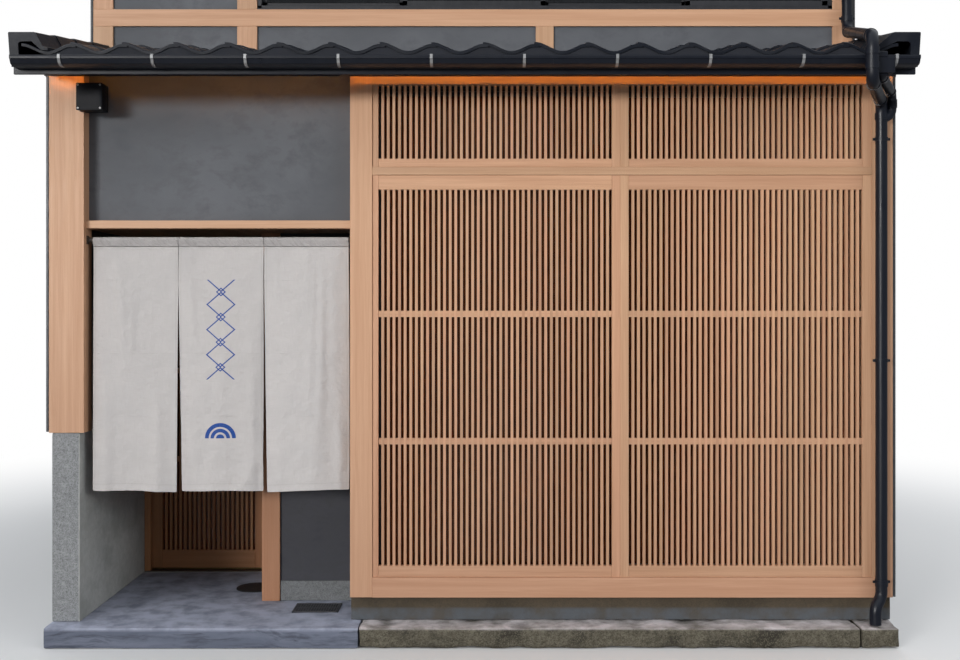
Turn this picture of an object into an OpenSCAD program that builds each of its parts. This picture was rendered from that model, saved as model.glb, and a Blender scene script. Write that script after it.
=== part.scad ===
// Two-storey machiya townhouse with a timber lattice bay, a recessed entrance with a cloth
// curtain and a sliding lattice door, a wave-tiled pent roof and plain party walls.
// Millimetres. X runs along the street, Y into the house, Z up from street level.
// The origin is on the ground under the middle of the front face.

/* [House] */
// Width of the house over both party walls
house_w = 4576; // [4400:4:4800]
// Depth from the lattice face to the back face
house_d = 6400; // [5800:50:7200]
// Thickness of each party wall
party_t = 166; // [140:2:190]
// Thickness of the back wall's plaster
back_t = 100; // [80:5:120]
// Height of the kerb, the entrance step and the ground floor above the street
plinth_h = 110; // [90:2:140]
// Thickness of the upper floor
floor_t = 120; // [90:5:150]

/* [Front posts] */
// Width of the left corner post
left_post_w = 190; // [150:2:220]
// Clear width of the entrance between its posts
entry_w = 1443; // [1300:1:1600]
// Width of the post between the entrance and the lattice
mid_post_w = 120; // [100:1:150]
// Width of the right corner post
right_post_w = 92; // [80:1:120]
// Depth of the front posts
post_d = 120; // [100:1:150]
// Height of the rendered low wall above the step
low_wall_h = 1024; // [900:4:1150]
// How far the low wall's outer face stands in from the house's side
low_wall_inset = 16; // [8:1:26]
// Width of the junction box at the top of the left post
box_w = 139; // [120:1:180]
// Height of the junction box
box_h = 146; // [120:2:180]
// Depth of the junction box
box_d = 85; // [60:1:100]
// How far the junction box reaches back beside the left post
box_back = 25; // [10:1:40]
// How far the junction box laps over the left post's face
box_lap = 12; // [8:1:40]
// Distance from the head beam's top down to the junction box's underside
box_drop = 220; // [200:2:300]

/* [Kerb and base] */
// How far the kerb and the step stand out in front of the posts
kerb_out = 120; // [90:5:150]
// Depth of the kerb under the base wall
kerb_back = 100; // [80:5:120]
// Radius of the kerb's worn top edge
kerb_round = 14; // [6:1:24]
// Height of the base wall under the lattice
base_h = 132; // [110:2:150]
// Thickness of the base wall
base_t = 110; // [90:2:130]
// How far the base wall stands back from the posts' face
base_recess = 40; // [20:2:60]
// How far the step runs past the middle post's left face
step_past_post = 57; // [40:1:80]
// Length of the separate block at the kerb's right end
kerb_end_w = 208; // [180:4:240]
// Width of the joint between the kerb and its end block
kerb_joint = 4; // [2:1:8]
// Width of the drain cover in the porch floor
drain_w = 260; // [220:5:300]
// Depth of the drain cover from front to back
drain_d = 180; // [150:5:220]
// Distance from the middle post back to the drain cover's left edge
drain_in = 350; // [320:5:400]

/* [Lattice bay] */
// Height of the sill under the lattice
sill_h = 108; // [90:1:130]
// How far the sill stands out in front of the posts
sill_out = 6; // [0:1:12]
// Height of the lower panels' bottom rail
lower_rail_h = 62; // [50:1:75]
// Height of each of the three lights in a lower panel
light_h = 658; // [620:1:690]
// Height of a cross rail between lights
cross_h = 34; // [26:1:42]
// Height of the lower panels' top rail
top_rail_h = 79; // [65:1:90]
// Height of the transom between lower and upper panels
transom_h = 43; // [34:1:52]
// Height of the upper panels' bottom rail
upper_rail_h = 46; // [38:1:56]
// Height of the upper panels' light
upper_light_h = 401; // [360:1:440]
// Height of the head beam at its front face
head_h = 67; // [56:1:80]
// Width of the left panels' outer stile
left_stile_w = 33; // [26:1:44]
// Width of each meeting stile
meet_stile_w = 46; // [36:1:56]
// Width of the right panels' outer stile
right_stile_w = 49; // [40:1:58]
// Width of the filler strip beside the right post
strip_w = 22; // [14:1:30]
// Number of vertical bars in a panel
panel_bars = 41; // [37:1:43]
// Width of a vertical bar
bar_w = 15.2; // [13:0.1:17]
// Depth of a vertical bar
bar_d = 24; // [18:1:28]
// Thickness of a lattice panel's frame
panel_t = 36; // [32:1:42]
// How far the panels stand back from the posts' face
panel_in = 8; // [4:1:16]
// How far the bars stand back from the panel's face
bar_in = 3; // [1:0.5:6]

/* [Entrance] */
// How far the plaster over the entrance stands back from the posts' face
panel_recess = 80; // [50:2:100]
// Thickness of the plaster over the entrance
panel_plaster_t = 60; // [40:2:80]
// Height of the wall between the door frame's head and the porch ceiling
over_door_h = 182; // [140:2:220]
// Height of the entrance lintel
lintel_h = 43; // [34:1:54]
// How far the lintel stands back from the posts' face
lintel_in = 30; // [20:1:50]
// Distance from the posts' face to the inner post
inner_post_y = 430; // [380:5:480]
// Width of the inner post
inner_post_w = 105; // [90:1:120]
// Distance from the left post's inner face to the inner post
inner_post_x = 878; // [840:1:920]
// How far the side panel stands back from the inner post's face
side_panel_in = 14; // [8:1:24]
// Thickness of the inner entrance walls
entry_wall_t = 90; // [70:1:104]
// Height of the rendered strip under the side panel
side_base_h = 116; // [90:2:140]
// Distance from the posts' face to the door frame
door_y = 1150; // [1080:5:1220]
// Thickness of the porch ceiling
ceiling_t = 24; // [18:1:30]

/* [Door] */
// Width of the doorway between its jambs
door_open_w = 728; // [690:1:760]
// Height of the doorway above its sill
door_open_h = 1908; // [1800:4:1960]
// Width of a door jamb
jamb_w = 39; // [32:1:46]
// Depth of the door frame
jamb_d = 40; // [34:1:50]
// Height of the door sill
door_sill_h = 6; // [4:1:12]
// How far the door laps behind its jambs
door_lap = 15; // [12:1:20]
// Thickness of the door
door_t = 36; // [30:1:42]
// Width of the door's stiles
door_stile_w = 79; // [70:1:90]
// Height of the door's bottom rail
door_rail_h = 115; // [100:1:130]
// Height of the door's top rail
door_top_h = 80; // [70:1:90]
// Number of bars in the door
door_bars = 19; // [17:1:20]
// Clearance between the door and the fixed pieces beside and above it
door_gap = 6; // [5:0.5:8]
// Distance that the door slides to open
door_travel = 700; // [640:5:715]
// Height of the brass rail that the door runs on
rail_h = 3; // [2:0.5:4]
// Radius of the door's wheels
wheel_r = 14; // [12:1:18]
// Height of the head rail that guides the door
guide_h = 60; // [50:2:80]
// Height of the door's pull above its bottom edge
pull_z = 800; // [700:10:900]
// Height of the pull's recess
pull_h = 120; // [90:2:140]

/* [Curtain] */
// Diameter of the curtain pole
pole_d = 28; // [24:1:32]
// Distance from the lintel's underside to the pole's middle
pole_drop = 62; // [55:1:75]
// Distance from the posts' face to the pole's middle
pole_y = 56; // [50:1:62]
// Thickness of the curtain cloth as a solid
cloth_t = 5; // [4:0.5:7]
// Mean gap between the curtain and the posts
cloth_side = 23; // [23:1:34]
// How far the curtain hangs to the right of the entrance's middle
cloth_shift = 10; // [0:1:12]
// Gap between two curtain panels
cloth_gap = 10; // [7:1:16]
// Drop of the curtain below the pole's middle
cloth_drop = 1362; // [1200:5:1450]

/* [Pent roof] */
// Rise of the pent roof for each unit of run
pent_slope = 0.17; // [0.15:0.01:0.19]
// Distance from the posts' face out to the tile tips
pent_out = 420; // [380:5:460]
// How far the upper storey stands back from the posts' face
setback = 680; // [600:10:760]
// How far both roofs run past the left side
roof_past_left = 34; // [20:1:50]
// How far the main roof runs past the right side
roof_past_right = 16; // [13:1:30]
// How far the pent roof stops short of the right side
pent_short_right = 16; // [8:1:18]
// Height of the pent roof's rafters
rafter_h = 48; // [44:1:60]
// Width of a rafter
rafter_w = 45; // [38:1:55]
// Number of rafters along each eave
rafter_count = 10; // [8:1:12]
// Thickness of the pent roof's boards
deck_t = 24; // [18:1:30]
// Clearance over and under the boards of both roofs
seat = 0.3; // [0.2:0.1:0.5]
// How far the tiles reach past the boards at an eave
tile_lip = 20; // [12:1:30]
// Height of the fascia board below the roof boards
fascia_h = 74; // [60:2:90]
// Thickness of the fascia board
fascia_t = 15; // [12:1:20]

/* [Tiles] */
// Width of one wave tile as laid
tile_w = 260; // [250:1:262]
// Height of the tile wave
wave_h = 40; // [34:1:48]
// Thickness of a tile
tile_t = 18; // [14:1:22]
// Width of the left verge tile
verge_w = 194; // [180:1:206]
// Least width of the right verge tile
verge_right_min = 190; // [180:1:200]
// Height of the verge tile above the roof boards
hood_h = 112; // [105:1:125]
// Width of the verge tile's flat top
hood_top_w = 136; // [124:1:146]
// Width of the thick rim round the lowest verge tile's front
rim_w = 46; // [38:1:48]
// Depth of that rim
rim_d = 14; // [8:1:16]
// Depth of the verge tile's skirt below the roof boards' top
skirt_h = 60; // [50:1:64]

/* [Gutters and pipes] */
// Width of a gutter from front to back
gutter_w = 120; // [105:1:130]
// Height of a gutter
gutter_h = 50; // [46:1:60]
// Thickness of the gutter
gutter_t = 4; // [3:0.5:6]
// Height of the band along a gutter's lip
gutter_lip_h = 20; // [16:1:24]
// How far that band stands out in front of the gutter's side
gutter_lip_out = 5; // [3:1:8]
// How far a gutter's side leans back at its foot
gutter_lean = 15; // [8:1:24]
// How far a gutter's floor reaches short of its side, where the corner is cut off
gutter_cut = 34; // [20:1:40]
// Number of gutter hangers
hanger_count = 10; // [8:1:12]
// Width of a gutter hanger
hanger_w = 14; // [10:1:20]
// Thickness of a gutter hanger
hanger_t = 3; // [2:0.5:4]
// Diameter of the downpipes
pipe_d = 62; // [54:1:70]
// Gap between a downpipe and the wall behind it
pipe_gap = 19; // [12:1:26]
// Distance of the upper downpipe's middle from the house's right side
pipe_up_in = 49; // [40:1:60]
// Distance of the pipe in front of the eave from the house's right side
pipe_over_in = 303; // [296:1:310]
// Distance of the front downpipe's middle from the house's right side
pipe_down_in = 80; // [76:1:82]
// Distance of the downpipe's foot from the house's right side
pipe_foot_in = 122; // [110:1:140]
// Distance of the hopper's middle from the house's right side
hopper_in = 232; // [228:1:236]
// Width of the hopper
hopper_w = 106; // [96:1:112]
// Depth of the hopper from front to back
hopper_d = 90; // [80:1:100]
// Height of the hopper below the gutter
hopper_h = 42; // [36:1:50]
// Thickness of the hopper's apron in front of the gutter
hopper_t = 14; // [10:1:16]
// Height of the raised part of the apron above the gutter
hopper_rise = 14; // [8:1:20]
// Width of the raised part of the apron
hopper_rise_w = 69; // [60:1:76]

/* [Upper storey] */
// Width and depth of the upper posts
upper_post = 120; // [105:1:135]
// Height of the upper sill beam
upper_beam_h = 102; // [90:1:115]
// Height of the upper sill beam's top above the upper floor
upper_sill_h = 490; // [440:5:540]
// Height of the upper window
upper_window_h = 1200; // [1000:10:1300]
// Height from the window's head beam to the roof plate
upper_top_h = 310; // [250:5:400]
// Clear width of the left plaster bay
left_bay_w = 748; // [650:1:850]
// Width of the short stud under the window
stud_w = 108; // [90:1:120]
// How far the upper plaster stands back from its posts
plaster_in = 15; // [8:1:24]
// Thickness of the upper plaster
plaster_t = 80; // [60:2:96]

/* [Windows] */
// Width of a window frame's members
sash_w = 50; // [40:1:60]
// Depth of a window frame
sash_d = 70; // [56:1:80]
// Thickness of the window glass
glass_t = 6; // [5:0.5:8]
// Width of each back window
back_window_w = 1650; // [1400:10:1800]
// Height of each back window
back_window_h = 1100; // [900:10:1200]
// Height of the lower back window's sill above the ground floor
back_sill_h = 900; // [800:10:1000]

/* [Main roof] */
// Rise of the main roof for each unit of run
main_slope = 0.4; // [0.35:0.01:0.45]
// Distance that the main eaves reach past the walls
main_out = 600; // [500:10:700]
// Thickness of the main roof's boards
main_deck_t = 40; // [30:1:50]
// Width of the ridge
ridge_w = 190; // [160:5:220]
// Height of the ridge above the roof boards
ridge_h = 260; // [220:5:300]
// Width of a purlin
purlin_w = 120; // [105:1:150]
// Height of a purlin below the roof boards
purlin_h = 180; // [150:5:220]

/* [Hidden] */
$fn = 32;

// Places across the front, from left to right
x_left = -house_w / 2;
x_right = house_w / 2;
x_entry = x_left + left_post_w;
x_mid = x_entry + entry_w;
x_bay = x_mid + mid_post_w;
x_post_r = x_right - right_post_w;
x_strip = x_post_r - strip_w;
x_in_left = x_left + party_t;
x_in_right = x_right - party_t;
x_step = x_left + low_wall_inset;
x_step_end = x_mid + step_past_post;
x_inner = x_entry + inner_post_x;
x_side = x_inner + inner_post_w;

// Heights of the lattice bay, from the base up
z_base = plinth_h + base_h;
z_sill = z_base + sill_h;
z_lower_top = z_sill + lower_rail_h + 3 * light_h + 2 * cross_h + top_rail_h;
z_transom = z_lower_top + transom_h;
z_head = z_transom + upper_rail_h + upper_light_h;
z_head_top = z_head + head_h;
clear_w = (x_strip - x_bay - left_stile_w - 2 * meet_stile_w - right_stile_w) / 2;
x_meet = x_bay + left_stile_w + clear_w + meet_stile_w;
bar_gap = (clear_w - panel_bars * bar_w) / (panel_bars + 1);

// Heights of the entrance
z_low_wall = plinth_h + low_wall_h;
z_door_sill = plinth_h + door_sill_h;
z_door_head = z_door_sill + door_open_h;
z_lintel = z_door_head + jamb_w + over_door_h;
z_panel = z_lintel + lintel_h;

// Underside of the pent rafters, underside of its boards, and their top, at a depth y
function pent_under(y) = z_head_top + pent_slope * y;
function pent_boards(y) = pent_under(y) + rafter_h;
function pent_top(y) = pent_boards(y) + deck_t;
pent_a = atan(pent_slope);
pent_tip = -pent_out;
pent_eave = pent_tip + tile_lip;

// Heights of the upper storey
z_floor = pent_under(0) + 30;
z_ledger = pent_top(setback) + 8;
z_up_sill = z_floor + upper_sill_h;
z_up_head = z_up_sill + upper_window_h;
z_plate = z_up_head + upper_beam_h + upper_top_h;
upper_y = setback + upper_post;
x_up_post = x_left + upper_post + left_bay_w;
x_up_window = x_up_post + upper_post;
x_up_right = x_right - upper_post;

// Main roof: underside of the rafters and boards, and the boards' top
ridge_y = (setback + house_d) / 2;
function main_under(y) = z_plate + main_slope * (ridge_y - setback - abs(y - ridge_y));
function main_boards(y) = main_under(y) + rafter_h;
function main_top(y) = main_boards(y) + main_deck_t;
main_a = atan(main_slope);
main_tip = setback - main_out;
main_eave = main_tip + tile_lip;
main_back = 2 * ridge_y - main_eave;

// Places of the tiles along the eaves
roof_left = x_left - roof_past_left;
roof_right = x_right + roof_past_right;
pent_right = x_right - pent_short_right;
verge_t = 12;
x_waves = roof_left + verge_w;
tile_waves = floor((roof_right - x_waves - verge_right_min) / tile_w);
x_waves_end = x_waves + tile_waves * tile_w;

module box(x0, x1, y0, y1, z0, z1) {
    translate([x0, y0, z0]) cube([x1 - x0, y1 - y0, z1 - z0]);
}

// A side profile of points [y, z], carried along X
module along_x(x0, x1, points) {
    translate([x0, 0, 0]) rotate([90, 0, 90]) linear_extrude(x1 - x0) polygon(points);
}

// A front profile of points [x, height over the boards], carried down a slope to [y, z]
module down_slope(y, z, angle, length) {
    translate([0, y + length * cos(angle), z + length * sin(angle)])
        rotate([90 + angle, 0, 0]) linear_extrude(length) children();
}

// Ground floor, round the porch at the front left
module ground_slab() {
    color("gray") linear_extrude(plinth_h) polygon([
        [x_left, door_y], [x_step_end, door_y], [x_step_end, kerb_back], [x_right, kerb_back],
        [x_right, house_d], [x_left, house_d]
    ]);
}

drain_t = 6;
drain_x = x_mid - drain_in;
drain_y = 190;

// Entrance step and porch floor in one mass of mortar, with a seat for the drain cover
module entry_step() {
    color("slategray") difference() {
        box(x_step, x_step_end, -kerb_out, door_y, 0, plinth_h);
        box(drain_x, drain_x + drain_w, drain_y, drain_y + drain_d, plinth_h - drain_t, plinth_h + 1);
    }
}

// Old kerb under the lattice, with a worn top edge
module front_kerb() {
    r = kerb_round;
    arc = [for (a = [180 : -15 : 90]) [-kerb_out + r + r * cos(a), plinth_h - r + r * sin(a)]];
    profile = concat([[-kerb_out, 0]], arc, [[kerb_back, plinth_h], [kerb_back, 0]]);
    color("darkkhaki") {
        along_x(x_step_end, x_right - kerb_end_w - kerb_joint, profile);
        along_x(x_right - kerb_end_w, x_right, profile);
    }
}

// Base wall under the lattice, and the strip under the side panel of the porch
module base_walls() {
    y = inner_post_y + side_panel_in;
    color("dimgray") {
        box(x_mid, x_right, base_recess, base_recess + base_t, plinth_h, z_base);
        box(x_side, x_mid, y - 6, y + entry_wall_t, plinth_h, plinth_h + side_base_h);
    }
}

// Rendered wall beside the porch
module low_wall() {
    color("darkseagreen") box(x_step, x_in_left, 0, door_y, plinth_h, z_low_wall);
}

// A post whose top is cut to the underside of the pent roof's rafters
module front_post(x0, x1, z0) {
    along_x(x0, x1, [
        [0, z0], [post_d, z0], [post_d, pent_under(post_d)], [0, pent_under(0)]
    ]);
}

module front_posts() {
    color("burlywood") {
        front_post(x_left, x_entry, z_low_wall);
        front_post(x_mid, x_bay, z_base);
        front_post(x_post_r, x_right, z_base);
    }
}

// Junction box on the post's face, with a packing block between it and the plaster
module junction_box() {
    x0 = x_entry - box_lap;
    z0 = z_head_top - box_drop;
    color("black") {
        box(x0, x0 + box_w, -box_d, 0, z0, z0 + box_h);
        box(x_entry, x0 + box_w, 0, box_back, z0, z0 + box_h);
        box(x_entry, x_entry + box_w * 0.6, box_back, panel_recess, z0 + 16, z0 + box_h - 16);
    }
}

// Sill, transom, head beam and filler strip that hold the lattice panels
module lattice_frame() {
    color("burlywood") {
        box(x_bay, x_post_r, -sill_out, post_d, z_base, z_sill);
        box(x_bay, x_strip, 0, panel_in + panel_t, z_lower_top, z_transom);
        box(x_strip, x_post_r, 4, panel_in + panel_t, z_sill, z_head);
        along_x(x_bay, x_post_r, [
            [0, z_head], [post_d, z_head], [post_d, pent_under(post_d)], [0, pent_under(0)]
        ]);
    }
}

// A framed panel of upright bars; crosses lists the undersides of its cross rails
module lattice_panel(x0, left_w, right_w, z0, z1, bottom_h, top_h, crosses) {
    x1 = x0 + left_w;
    x2 = x1 + clear_w;
    back = panel_in + panel_t;
    box(x0, x1, panel_in, back, z0, z1);
    box(x2, x2 + right_w, panel_in, back, z0, z1);
    box(x1, x2, panel_in, back, z0, z0 + bottom_h);
    if (top_h > 0) box(x1, x2, panel_in, back, z1 - top_h, z1);
    for (z = crosses) {
        box(x1, x2, panel_in + bar_in + 1, panel_in + bar_in + bar_d - 1, z, z + cross_h);
    }
    for (i = [0 : panel_bars - 1]) {
        x = x1 + bar_gap + i * (bar_w + bar_gap);
        box(x, x + bar_w, panel_in + bar_in, panel_in + bar_in + bar_d,
            z0 + bottom_h, z1 - top_h);
    }
}

z_light = z_sill + lower_rail_h + light_h;
lower_crosses = [z_light, z_light + cross_h + light_h];

module lattice_upper_left() {
    color("tan") lattice_panel(x_bay, left_stile_w, meet_stile_w, z_transom, z_head,
        upper_rail_h, 0, []);
}

module lattice_upper_right() {
    color("tan") lattice_panel(x_meet, meet_stile_w, right_stile_w, z_transom, z_head,
        upper_rail_h, 0, []);
}

module lattice_lower_left() {
    color("tan") lattice_panel(x_bay, left_stile_w, meet_stile_w, z_sill, z_lower_top,
        lower_rail_h, top_rail_h, lower_crosses);
}

module lattice_lower_right() {
    color("tan") lattice_panel(x_meet, meet_stile_w, right_stile_w, z_sill, z_lower_top,
        lower_rail_h, top_rail_h, lower_crosses);
}

// Grey plaster over the entrance, cut to the rafters at its top
module entry_panel() {
    y0 = panel_recess;
    y1 = panel_recess + panel_plaster_t;
    color("dimgray") along_x(x_entry, x_mid, [
        [y0, z_panel], [y1, z_panel], [y1, pent_under(y1)], [y0, pent_under(y0)]
    ]);
}

lintel_back = panel_recess + panel_plaster_t;

module entry_lintel() {
    color("burlywood") box(x_entry, x_mid, lintel_in, lintel_back, z_lintel, z_panel);
}

module inner_post() {
    color("burlywood")
        box(x_inner, x_side, inner_post_y, inner_post_y + inner_post_w, plinth_h, z_lintel);
}

// Dark plaster beside the inner post, above its rendered strip
module entry_side_panel() {
    y = inner_post_y + side_panel_in;
    color("darkslategray")
        box(x_side, x_mid, y, y + entry_wall_t, plinth_h + side_base_h, z_lintel);
}

// Wall from the middle post back to the side panel
module porch_side_wall() {
    y = inner_post_y + side_panel_in + entry_wall_t;
    color("dimgray") box(x_mid, x_bay, max(post_d, base_recess + base_t), y, plinth_h, z_lintel);
}

// Wall from the inner post back to the door frame
module alcove_side_wall() {
    color("dimgray") box(x_side - entry_wall_t, x_side, inner_post_y + inner_post_w,
        door_y, plinth_h, z_lintel);
}

x_door = x_in_left + jamb_w;
x_door_end = x_door + door_open_w;

// Wall beside and over the doorway
module door_wall() {
    color("dimgray") {
        box(x_door_end + jamb_w, x_side, door_y, door_y + jamb_d, plinth_h, z_lintel);
        box(x_in_left, x_door_end + jamb_w, door_y, door_y + jamb_d,
            z_door_head + jamb_w, z_lintel);
    }
}

// Boards over the porch, from the lintel back to the door wall
module porch_ceiling() {
    color("peru") {
        box(x_in_left, x_bay, lintel_back, door_y + jamb_d, z_lintel, z_lintel + ceiling_t);
    }
}

// Door planes: the leaf runs behind the frame
leaf_y = door_y + jamb_d + door_gap;
leaf_x = x_door - door_lap;
leaf_w = door_open_w + 2 * door_lap;
leaf_z = z_door_sill + rail_h + door_gap;
leaf_top = z_door_head + door_lap;
track_end = leaf_x + leaf_w + door_travel + door_gap;

// Jambs, head, sill, and the head rail and brass floor rail that the door runs along
module door_frame() {
    y0 = door_y;
    y1 = door_y + jamb_d;
    run = leaf_y + door_t + door_gap;
    rail_y = leaf_y + door_t / 2;
    color("burlywood") {
        box(x_in_left, x_door, y0, y1, z_door_sill, z_door_head);
        box(x_door_end, x_door_end + jamb_w, y0, y1, z_door_sill, z_door_head);
        box(x_in_left, x_door_end + jamb_w, y0, y1, z_door_head, z_door_head + jamb_w);
        box(x_in_left, x_door_end + jamb_w, y0, y1, plinth_h, z_door_sill);
        box(x_in_left, track_end, y1, run, plinth_h, z_door_sill);
        box(x_in_left, track_end, rail_y - 3, rail_y + 3, z_door_sill, z_door_sill + rail_h);
        box(x_in_left, track_end, y1, run, leaf_top + door_gap, leaf_top + door_gap + guide_h);
    }
}

// Sliding door: lattice frame with bars fused to its rails, a pull and two wheels
module entrance_door() {
    x0 = leaf_x + door_stile_w;
    x1 = leaf_x + leaf_w - door_stile_w;
    y1 = leaf_y + door_t;
    z0 = leaf_z + door_rail_h;
    z1 = leaf_top - door_top_h;
    gap = (x1 - x0 - door_bars * bar_w) / (door_bars + 1);
    pull_x = leaf_x + door_lap + (door_stile_w - door_lap) / 2 - 10;
    color("peru") {
        difference() {
            box(leaf_x, x0, leaf_y, y1, leaf_z, leaf_top);
            box(pull_x, pull_x + 20, leaf_y - 1, leaf_y + 12, leaf_z + pull_z, leaf_z + pull_z + pull_h);
        }
        box(x1, leaf_x + leaf_w, leaf_y, y1, leaf_z, leaf_top);
        box(x0, x1, leaf_y, y1, leaf_z, z0);
        box(x0, x1, leaf_y, y1, z1, leaf_top);
        for (i = [0 : door_bars - 1]) {
            x = x0 + gap + i * (bar_w + gap);
            box(x, x + bar_w, leaf_y + bar_in, leaf_y + bar_in + 16, z0, z1);
        }
        for (k = [1 : 2]) {
            z = z0 + k * (z1 - z0) / 3;
            box(x0, x1, leaf_y + bar_in + 1, leaf_y + bar_in + 15, z, z + cross_h);
        }
        for (x = [leaf_x + door_stile_w, leaf_x + leaf_w - door_stile_w]) {
            translate([x, leaf_y + door_t / 2 + 4, z_door_sill + rail_h + 0.3 + wheel_r])
                rotate([90, 0, 0]) cylinder(r = wheel_r, h = 8);
        }
    }
}

module entrance_door_glass() {
    y = leaf_y + bar_in + 18;
    color("lightcyan") box(leaf_x + door_stile_w, leaf_x + leaf_w - door_stile_w, y, y + glass_t,
        leaf_z + door_rail_h, leaf_top - door_top_h);
}

z_pole = z_lintel - pole_drop;
cloth_w = (entry_w - 2 * cloth_side - 2 * cloth_gap) / 3;
bracket_t = 10;

// Curtain pole in two brackets on the posts
module curtain_pole() {
    color("sienna") translate([x_entry + bracket_t, pole_y, z_pole])
        rotate([0, 90, 0]) cylinder(d = pole_d, h = entry_w - 2 * bracket_t);
    color("dimgray") for (x = [x_entry, x_mid - bracket_t]) {
        box(x, x + bracket_t, pole_y - pole_d / 2 - 4, pole_y + pole_d / 2 + 4,
            z_pole - pole_d / 2 - 6, z_pole + pole_d / 2 + 10);
    }
}

// One curtain panel: a sleeve round the pole and the cloth that hangs from it
module curtain_panel(index) {
    r = pole_d / 2 + 0.3;
    x0 = (x_entry + x_mid) / 2 + cloth_shift + (index - 1.5) * cloth_w + (index - 1) * cloth_gap;
    color("linen") translate([x0, 0, 0]) rotate([90, 0, 90]) linear_extrude(cloth_w) {
        difference() {
            union() {
                translate([pole_y, z_pole]) circle(r = r + cloth_t);
                translate([pole_y - cloth_t / 2, z_pole - cloth_drop])
                    square([cloth_t, cloth_drop - r]);
            }
            translate([pole_y, z_pole]) circle(r = r);
        }
    }
}

module curtain_left() { curtain_panel(0); }
module curtain_middle() { curtain_panel(1); }
module curtain_right() { curtain_panel(2); }

// Middle of rafter number i, spread evenly between the party walls' outer faces
function rafter_x(i) = x_left + 30 + rafter_w / 2
    + i * (house_w - 60 - rafter_w) / (rafter_count - 1);

module pent_rafters() {
    y0 = pent_eave + fascia_t;
    color("tan") for (i = [0 : rafter_count - 1]) {
        x = rafter_x(i) - rafter_w / 2;
        along_x(x, x + rafter_w, [
            [y0, pent_under(y0)], [setback, pent_under(setback)],
            [setback, pent_boards(setback)], [y0, pent_boards(y0)]
        ]);
    }
}

// Roof boards with the fascia that carries the gutter
module pent_deck() {
    z0 = pent_boards(pent_eave);
    color("saddlebrown") along_x(roof_left + verge_t, pent_right - verge_t, [
        [pent_eave, z0 - fascia_h], [pent_eave + fascia_t, z0 - fascia_h],
        [pent_eave + fascia_t, pent_boards(pent_eave + fascia_t) + seat],
        [setback, pent_boards(setback) + seat], [setback, pent_top(setback) - seat],
        [pent_eave, pent_top(pent_eave) - seat]
    ]);
}

// Height of the wave's underside over the boards, a fraction t along one tile
function wave(t) = wave_h / 2 * (1 - cos(360 * t));
wave_steps = 8;
function wave_points(first, last, lift) = [for (i = [first : last])
    [x_waves + i * tile_w / wave_steps, wave(i / wave_steps) + lift]];
function reversed(list) = [for (i = [len(list) - 1 : -1 : 0]) list[i]];

// The tiles run on to a crest under the verge tiles at each side
first_step = -wave_steps / 2;
last_step = (tile_waves + 0.5) * wave_steps;
sheet_top = wave_points(first_step, last_step, tile_t);

// Sheet of wave tiles with the filler that closes the waves at the eave
module wave_sheet(y, z, angle, length) {
    down_slope(y, z, angle, length)
        polygon(concat(wave_points(first_step, last_step, 0), reversed(sheet_top)));
    down_slope(y + tile_lip * cos(angle), z + tile_lip * sin(angle), angle, 10)
        polygon(concat([[x_waves_end, 0], [x_waves, 0]],
            wave_points(0, tile_waves * wave_steps, tile_t / 2)));
}

pent_length = (setback - pent_tip) / cos(pent_a);

module pent_tiles() {
    color("darkslateblue") wave_sheet(pent_tip, pent_top(pent_tip), pent_a, pent_length);
}

// Verge tile of width w: a skirt over the edge of the boards, a hood and a foot on the tiles
function verge_points(w) = [
    [0, -skirt_h], [0, hood_h], [hood_top_w, hood_h], [w - 14, 2 * tile_t], [w, 2 * tile_t],
    [w, 0], [w - 22, 0], [hood_top_w - 8, hood_h - verge_t], [verge_t, hood_h - verge_t],
    [verge_t, -skirt_h]
];

// Thick rim round the front of the lowest verge tile
function rim_points(w) = [
    [0, 0], [0, hood_h], [hood_top_w, hood_h], [w - 14, 2 * tile_t], [w, 2 * tile_t], [w, 0],
    [w - 40, 0], [hood_top_w - 20, hood_h - rim_w], [rim_w + 14, hood_h - rim_w],
    [rim_w, hood_h - rim_w - 14], [rim_w, 0]
];

// Profile of a verge tile whose foot is cut to the tiles' top, at a side of the roof
module verge(edge, points) {
    under = concat(sheet_top, [[x_waves_end + tile_w / 2, -1], [x_waves - tile_w / 2, -1]]);
    difference() {
        if (edge < 0) translate([edge, 0]) polygon(points);
        else translate([edge, 0]) mirror([1, 0]) polygon(points);
        polygon(under);
    }
}

module verge_pair(y, z, angle, length, right) {
    left_w = x_waves - roof_left;
    right_w = right - x_waves_end;
    down_slope(y, z, angle, length) verge(roof_left, verge_points(left_w));
    down_slope(y, z, angle, rim_d) verge(roof_left, rim_points(left_w));
    down_slope(y, z, angle, length) verge(right, verge_points(right_w));
    down_slope(y, z, angle, rim_d) verge(right, rim_points(right_w));
}

module pent_verges() {
    color("darkslateblue") difference() {
        verge_pair(pent_tip, pent_top(pent_tip), pent_a, pent_length, pent_right);
        box(x_left, pent_right + 10, setback, setback + 30, z_floor, z_ledger + hood_h);
    }
}

// Gutters: back edge and top of each, and the stretch of the eave that they cover
gutter_in_left = 40;
gutter_in_right = 63;
gutter_x0 = roof_left + gutter_in_left;
gutter_x1 = roof_right - gutter_in_right;
pent_gutter_z = pent_boards(pent_eave) - 1;
main_gutter_z = main_boards(main_eave) - 1;

// Outline of a gutter from its floor up to its lip, moved inward by t
function gutter_side(y, z, t) = [
    [y - t, z - gutter_h + t], [y - gutter_w + gutter_lean + gutter_cut, z - gutter_h + t],
    [y - gutter_w + gutter_lean + t, z - gutter_h + 9 + t / 2],
    [y - gutter_w + gutter_lip_out + t, z - gutter_lip_h]
];

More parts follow.
